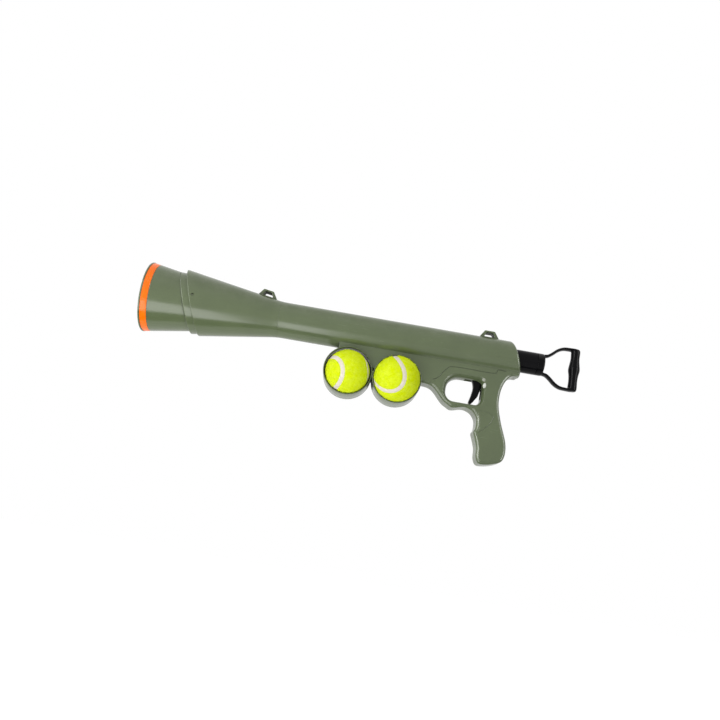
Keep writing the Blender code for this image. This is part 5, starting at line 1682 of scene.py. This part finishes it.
class LauncherColours(bpy.types.PropertyGroup):
    """Colours of the mouldings, the band and the balls."""

    housing: bpy.props.FloatVectorProperty(
        name="Housing", description="Olive green of the mouldings", subtype="COLOR", size=4,
        default=(0.097, 0.126, 0.061, 1.0), min=0.0, max=1.0)
    band: bpy.props.FloatVectorProperty(
        name="Muzzle band", description="Orange of the soft band", subtype="COLOR", size=4,
        default=(1.0, 0.165, 0.0, 1.0), min=0.0, max=1.0)
    black: bpy.props.FloatVectorProperty(
        name="Black parts", description="Black of trigger, tube and handle", subtype="COLOR", size=4,
        default=(0.0032, 0.0032, 0.0038, 1.0), min=0.0, max=1.0)
    felt: bpy.props.FloatVectorProperty(
        name="Ball felt", description="Yellow-green of the ball felt", subtype="COLOR", size=4,
        default=(0.72, 0.86, 0.003, 1.0), min=0.0, max=1.0)
    seam: bpy.props.FloatVectorProperty(
        name="Ball seam", description="Pale colour of the ball seam", subtype="COLOR", size=4,
        default=(0.72, 0.66, 0.56, 1.0), min=0.0, max=1.0)


class LauncherStudio(bpy.types.PropertyGroup):
    """Camera, light and floor."""

    lens: bpy.props.FloatProperty(
        name="Lens", description="Focal length in millimetres", default=39.0, min=10.0,
        subtype="DISTANCE_CAMERA")
    floor_height: bpy.props.FloatProperty(
        name="Floor height", description="Height of the floor under the held launcher", default=-0.45,
        unit="LENGTH", subtype="DISTANCE")
    ambient: bpy.props.FloatProperty(
        name="Ambient", description="Strength of the light from all round", default=0.62, min=0.0)
    panel_power: bpy.props.FloatProperty(
        name="Low panel", description="Watts of the panel below the front", default=8.6, min=0.0,
        subtype="POWER")
    key_power: bpy.props.FloatProperty(
        name="Key", description="Watts of the broad key light above", default=16.0, min=0.0,
        subtype="POWER")
    glint_power: bpy.props.FloatProperty(
        name="Glints", description="Watts, before each panel's share, of the panels that draw glints",
        default=14.0, min=0.0, subtype="POWER")


# Operators


class LAUNCHER_OT_materials(bpy.types.Operator):
    """Builds the shared node groups and every material."""

    bl_idname = "launcher.materials"
    bl_label = "Materials"

    def execute(self, context):
        colours = context.scene.launcher_colours
        for maker in (moulded_surface_group, edge_rub_highlight_group, recess_shade_group, scuff_group, dust_group,
                      drawn_lines_group, felt_pile_group):
            tree = maker()
            GROUPS[tree.name] = tree
        moulding("olive_moulding", colours.housing, 0.20, 0.0007, 0.35, 0.02)
        moulding("black_moulding", colours.black, 0.12, 0.0006, 0.6, 0.012, rub_highlight=0.2, edge=1.5, gloss=0.07,
                 soft=0.0002)
        band_material(colours.band)
        felt_material(colours.felt)
        seam_material(colours.seam)
        rubber_material("black_rubber", (0.02, 0.02, 0.02))
        tube_material(colours.black)
        steel_material("spring_steel", (0.56, 0.56, 0.58), 0.0002, 0.22, 0.36)
        steel_material("zinc_plate", (0.66, 0.66, 0.68), 0.0002, 0.24, 0.40)
        nylon_material("pale_nylon", (0.74, 0.71, 0.63))
        # The cheek caps' pale colours are painted highlights.
        nylon_material("grey_cap", (0.33, 0.35, 0.29), gloss=0.15)
        nylon_material("pale_cap", (0.64, 0.66, 0.60), gloss=0.15)
        return {"FINISHED"}


class LAUNCHER_OT_muzzle(bpy.types.Operator):
    """Builds the muzzle nozzle and its orange band."""

    bl_idname = "launcher.muzzle"
    bl_label = "Muzzle and band"

    def execute(self, context):
        placed(nozzle_shape(), skin("olive_moulding"), "launcher", "olive_plastic", "nozzle", flat=True)
        placed(band_shape(), skin("band_rubber"), "launcher", "orange_rubber", "muzzle_band", angle=45.0)
        return {"FINISHED"}


class LAUNCHER_OT_funnel(bpy.types.Operator):
    """Builds the ball funnel with the front strap lug."""

    bl_idname = "launcher.funnel"
    bl_label = "Ball funnel"

    def execute(self, context):
        placed(funnel_shape(), skin("olive_moulding"), "launcher", "olive_plastic", "funnel", flat=True)
        return {"FINISHED"}


class LAUNCHER_OT_housing(bpy.types.Operator):
    """Builds both housing halves and their screws."""

    bl_idname = "launcher.housing"
    bl_label = "Housing halves and screws"

    def execute(self, context):
        blank = housing_blank()
        for name, node, side in (("left_shell", "housing_left", -1), ("right_shell", "housing_right", 1)):
            half = housing_half(blank, name, side)
            placed(half, skin("olive_moulding"), "launcher", "olive_plastic", node, flat=True)
            for key, place, along, up, rise, tone in CHEEK_CAPS:
                spot = (place[0] * MM, place[1] * MM)
                cap = cheek_cap(f"{name}_{key}", spot, along * MM, up * MM, rise * MM, side)
                placed(cap, skin(tone), "launcher", "olive_plastic", node, angle=50.0)
        bpy.data.objects.remove(blank)
        for index, place in enumerate(screw_places()):
            made = screw_shape(f"shell_screw_{index + 1}", place)
            placed(made, skin("zinc_plate"), "launcher", "screw_steel", f"housing_screw_{index + 1}")
        return {"FINISHED"}


class LAUNCHER_OT_ball_holder(bpy.types.Operator):
    """Builds the twin rings that hold the spare balls."""

    bl_idname = "launcher.ball_holder"
    bl_label = "Ball holder"

    def execute(self, context):
        placed(holder_shape(), skin("olive_moulding"), "launcher", "olive_plastic", "ball_holder")
        return {"FINISHED"}


class LAUNCHER_OT_balls(bpy.types.Operator):
    """Builds the two tennis balls with their seams."""

    bl_idname = "launcher.balls"
    bl_label = "Tennis balls"

    def execute(self, context):
        sizes = context.scene.launcher_sizes
        for node, turn, seed in (("front_ball", FRONT_BALL_TURN, 11), ("rear_ball", REAR_BALL_TURN, 29)):
            felt = felt_shape(f"{node}_felt", node, turn, sizes, seed)
            placed(felt, skin("ball_felt"), node, "ball_felt", node, angle=60.0)
            seam = seam_shape(f"{node}_seam", node, turn, sizes)
            placed(seam, skin("ball_seam"), node, "ball_felt", node, angle=60.0)
        return {"FINISHED"}


class LAUNCHER_OT_trigger(bpy.types.Operator):
    """Builds the trigger blade."""

    bl_idname = "launcher.trigger"
    bl_label = "Trigger"

    def execute(self, context):
        placed(trigger_shape(), skin("black_moulding"), "trigger", "black_plastic", "trigger", angle=40.0)
        return {"FINISHED"}


class LAUNCHER_OT_plunger(bpy.types.Operator):
    """Builds the striker, the draw tube and the pull handle."""

    bl_idname = "launcher.plunger"
    bl_label = "Plunger and pull handle"

    def execute(self, context):
        placed(pad_shape(), skin("black_rubber"), "plunger", "black_rubber", "striker_pad", angle=45.0)
        placed(tube_shape(), skin("black_tube"), "plunger", "black_plastic", "plunger_tube")
        handle = handle_shape()
        placed(handle, skin("black_moulding"), "plunger", "black_plastic", "pull_handle", angle=50.0)
        return {"FINISHED"}


class LAUNCHER_OT_springs(bpy.types.Operator):
    """Winds the main spring and the two lever springs."""

    bl_idname = "launcher.springs"
    bl_label = "Springs"

    def execute(self, context):
        front, back = PISTON_BACK + FIT_GAP, SEAT_STATION - FIT_GAP
        made = spring_shape("main_coil", (front, 0, 0), (back, 0, 0), *MAIN_COIL)
        placed(made, skin("spring_steel"), "launcher", "spring_steel", "main_spring", angle=60.0)
        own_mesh(made)
        at = SEAR_PIVOT[0] - SEAR_SPRING_REACH
        low, high = FIT_GAP - CHAMBER_FLOOR, SEAR_PIVOT[1] - SEAR_UNDER - FIT_GAP
        made = spring_shape("sear_coil", (at, 0, low), (at, 0, high), *LEVER_COIL)
        placed(made, skin("spring_steel"), "launcher", "spring_steel", "sear_spring", angle=60.0)
        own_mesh(made)
        level = TRIGGER_PIVOT[1] - TRIGGER_SPRING_DROP
        near = TRIGGER_PIVOT[0] + TRIGGER_SPRING_REACH + FIT_GAP
        far = SEAR_PIVOT[0] + CHAMBER_REAR - FIT_GAP
        made = spring_shape("trigger_coil", (near, 0, level), (far, 0, level), *LEVER_COIL)
        placed(made, skin("spring_steel"), "launcher", "spring_steel", "trigger_spring", angle=60.0)
        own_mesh(made)
        return {"FINISHED"}


class LAUNCHER_OT_inner_parts(bpy.types.Operator):
    """Gives the solids that stay inside the barrel their materials."""

    bl_idname = "launcher.inner_parts"
    bl_label = "Inner parts"

    def execute(self, context):
        skins = {
            "piston": "black_moulding", "piston_seal": "black_rubber", "bumper_ring": "black_rubber",
            "spring_seat": "pale_nylon", "rear_bush": "pale_nylon", "sear": "pale_nylon",
            "sear_pin": "spring_steel", "trigger_pin": "spring_steel",
        }
        for node, name in skins.items():
            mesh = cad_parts[node].data
            mesh.materials.clear()
            mesh.materials.append(skin(name))
        return {"FINISHED"}


def background_share(tree):
    """1 for the rays that show the background: camera, glossy and transmission rays."""
    path = add_node(tree, "ShaderNodeLightPath").outputs
    seen = calc(tree, "ADD", path["Is Camera Ray"], path["Is Glossy Ray"], clamp=True)
    return calc(tree, "ADD", seen, path["Is Transmission Ray"], clamp=True)


class LAUNCHER_OT_stage(bpy.types.Operator):
    """Sets up the floor, the background, the lights and the photograph's camera."""

    bl_idname = "launcher.stage"
    bl_label = "Studio"

    def execute(self, context):
        studio = context.scene.launcher_studio
        self.world(context, studio)
        self.floor(studio)
        self.flag()
        self.lights(studio)
        self.camera(context, studio)
        context.scene.view_settings.view_transform = "Standard"
        return {"FINISHED"}

    def world(self, context, studio):
        """A white background, and an even light of its own strength from all round."""
        world = bpy.data.worlds.new("studio")
        world.use_nodes = True
        tree = world.node_tree
        tree.nodes.clear()
        seen = add_node(tree, "ShaderNodeBackground")
        seen.inputs["Color"].default_value = WHITE
        lit = add_node(tree, "ShaderNodeBackground")
        lit.inputs["Color"].default_value = WHITE
        lit.inputs["Strength"].default_value = studio.ambient
        mix = add_node(tree, "ShaderNodeMixShader")
        feed(tree, mix.inputs[0], background_share(tree))
        feed(tree, mix.inputs[1], lit.outputs[0])
        feed(tree, mix.inputs[2], seen.outputs[0])
        out = add_node(tree, "ShaderNodeOutputWorld")
        feed(tree, out.inputs["Surface"], mix.outputs[0])
        context.scene.world = world

    def floor(self, studio):
        """White paper that glows a little, so that it looks as white as the background."""
        corners = ((-1, -1), (1, -1), (1, 1), (-1, 1))
        points = [(x * FLOOR_HALF, y * FLOOR_HALF, studio.floor_height) for x, y in corners]
        floor = mesh_object("studio_floor", points, [(0, 1, 2, 3)])
        made, tree, shader = new_material("studio_paper")
        speck = speckle(tree, surface_place(tree), 40.0, 5.0)
        paper = mixed(tree, speck, (0.80, 0.80, 0.80, 1.0), (0.83, 0.83, 0.83, 1.0))
        feed(tree, shader.inputs["Base Color"], paper)
        shader.inputs["Roughness"].default_value = 0.9
        glow = add_node(tree, "ShaderNodeEmission")
        glow.inputs["Color"].default_value = WHITE
        camera = add_node(tree, "ShaderNodeLightPath").outputs["Is Camera Ray"]
        seen = calc(tree, "MULTIPLY", background_share(tree), SEEN_GLOW)
        share = calc(tree, "ADD", seen, calc(tree, "MULTIPLY", camera, CAMERA_GLOW))
        feed(tree, glow.inputs["Strength"], share)
        both = add_node(tree, "ShaderNodeAddShader")
        feed(tree, both.inputs[0], shader.outputs[0])
        feed(tree, both.inputs[1], glow.outputs[0])
        out = next(item for item in tree.nodes if item.type == "OUTPUT_MATERIAL")
        feed(tree, out.inputs["Surface"], both.outputs[0])
        floor.data.materials.append(made)
        floor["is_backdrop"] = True

    def flag(self):
        """A strip of black cloth in front of the low panel, which only reflections see."""
        points = [(x, y, FLAG_HEIGHT) for x, y in FLAG_OUTLINE]
        flag = mesh_object("studio_flag", points, [tuple(range(len(points)))])
        made, tree, shader = new_material("studio_cloth", gloss=0.0)
        weave = speckle(tree, surface_place(tree), 900.0, 2.0)
        cloth = mixed(tree, weave, (0.010, 0.010, 0.010, 1.0), (0.020, 0.020, 0.020, 1.0))
        feed(tree, shader.inputs["Base Color"], cloth)
        shader.inputs["Roughness"].default_value = 1.0
        flag.data.materials.append(made)
        flag.visible_camera = False
        flag.visible_diffuse = False
        flag.visible_transmission = False
        flag.visible_shadow = False
        flag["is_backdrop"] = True

    def lights(self, studio):
        """Area lights. The key and the back light aren't reflected, and the glints only are."""
        for name, place, aim, size, setting, share in LIGHTS:
            light = bpy.data.lights.new(name, "AREA")
            light.shape = "RECTANGLE"
            light.size, light.size_y = size
            light.energy = getattr(studio, setting) * share
            lamp = linked(name, light)
            lamp.location = place
            way = Vector(aim) - Vector(place)
            lamp.rotation_euler = way.to_track_quat("-Z", "Y").to_euler()
            lamp.visible_camera = False
            lamp.visible_glossy = name not in ("key_light", "back_light")
            lamp.visible_diffuse = not name.endswith("glint")

    def camera(self, context, studio):
        """The photograph's camera, which looks slightly up and is rolled a little."""
        ahead = Vector((0.0, math.cos(CAMERA_RISE), math.sin(CAMERA_RISE)))
        over = ALONG.cross(ahead)
        right = ALONG * math.cos(CAMERA_ROLL) + over * math.sin(CAMERA_ROLL)
        above = over * math.cos(CAMERA_ROLL) - ALONG * math.sin(CAMERA_ROLL)
        data = bpy.data.cameras.new("photo_camera")
        data.lens = studio.lens
        data.sensor_width = SENSOR_WIDTH
        camera = linked("photo_camera", data)
        axes = Matrix((right, above, -ahead)).transposed().to_4x4()
        camera.matrix_world = Matrix.Translation(CAMERA_PLACE) @ axes
        context.scene.camera = camera


OPERATORS = (
    LAUNCHER_OT_materials, LAUNCHER_OT_muzzle, LAUNCHER_OT_funnel, LAUNCHER_OT_housing,
    LAUNCHER_OT_ball_holder, LAUNCHER_OT_balls, LAUNCHER_OT_trigger, LAUNCHER_OT_plunger,
    LAUNCHER_OT_springs, LAUNCHER_OT_inner_parts, LAUNCHER_OT_stage,
)


class LAUNCHER_PT_panel(bpy.types.Panel):
    """Lists the launcher's settings and the operators that build it."""

    bl_idname = "LAUNCHER_PT_panel"
    bl_label = "Ball launcher"
    bl_space_type = "VIEW_3D"
    bl_region_type = "UI"
    bl_category = "Launcher"

    def draw(self, context):
        scene = context.scene
        for group in (scene.launcher_sizes, scene.launcher_colours, scene.launcher_studio):
            box = self.layout.box()
            for key in group.__annotations__:
                box.prop(group, key)
        for operator in OPERATORS:
            self.layout.operator(operator.bl_idname)


CLASSES = (LauncherSizes, LauncherColours, LauncherStudio) + OPERATORS + (LAUNCHER_PT_panel,)


def register():
    """Registers the classes and puts the settings on the scene."""
    for item in CLASSES:
        bpy.utils.register_class(item)
    bpy.types.Scene.launcher_sizes = bpy.props.PointerProperty(type=LauncherSizes)
    bpy.types.Scene.launcher_colours = bpy.props.PointerProperty(type=LauncherColours)
    bpy.types.Scene.launcher_studio = bpy.props.PointerProperty(type=LauncherStudio)


def unregister():
    """Takes the settings and the classes away again."""
    for name in ("launcher_studio", "launcher_colours", "launcher_sizes"):
        delattr(bpy.types.Scene, name)
    for item in reversed(CLASSES):
        bpy.utils.unregister_class(item)


def corners(box):
    """A box as two plain lists of numbers."""
    return [[float(part) for part in corner] for corner in box]


def main():
    """Builds every piece and the stage."""
    register()
    for operator in OPERATORS:
        family, action = operator.bl_idname.split(".")
        getattr(getattr(bpy.ops, family), action)()
    {"cad": corners(CAD_BOX), "visual": corners(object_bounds())}


if __name__ == "__main__":
    main()
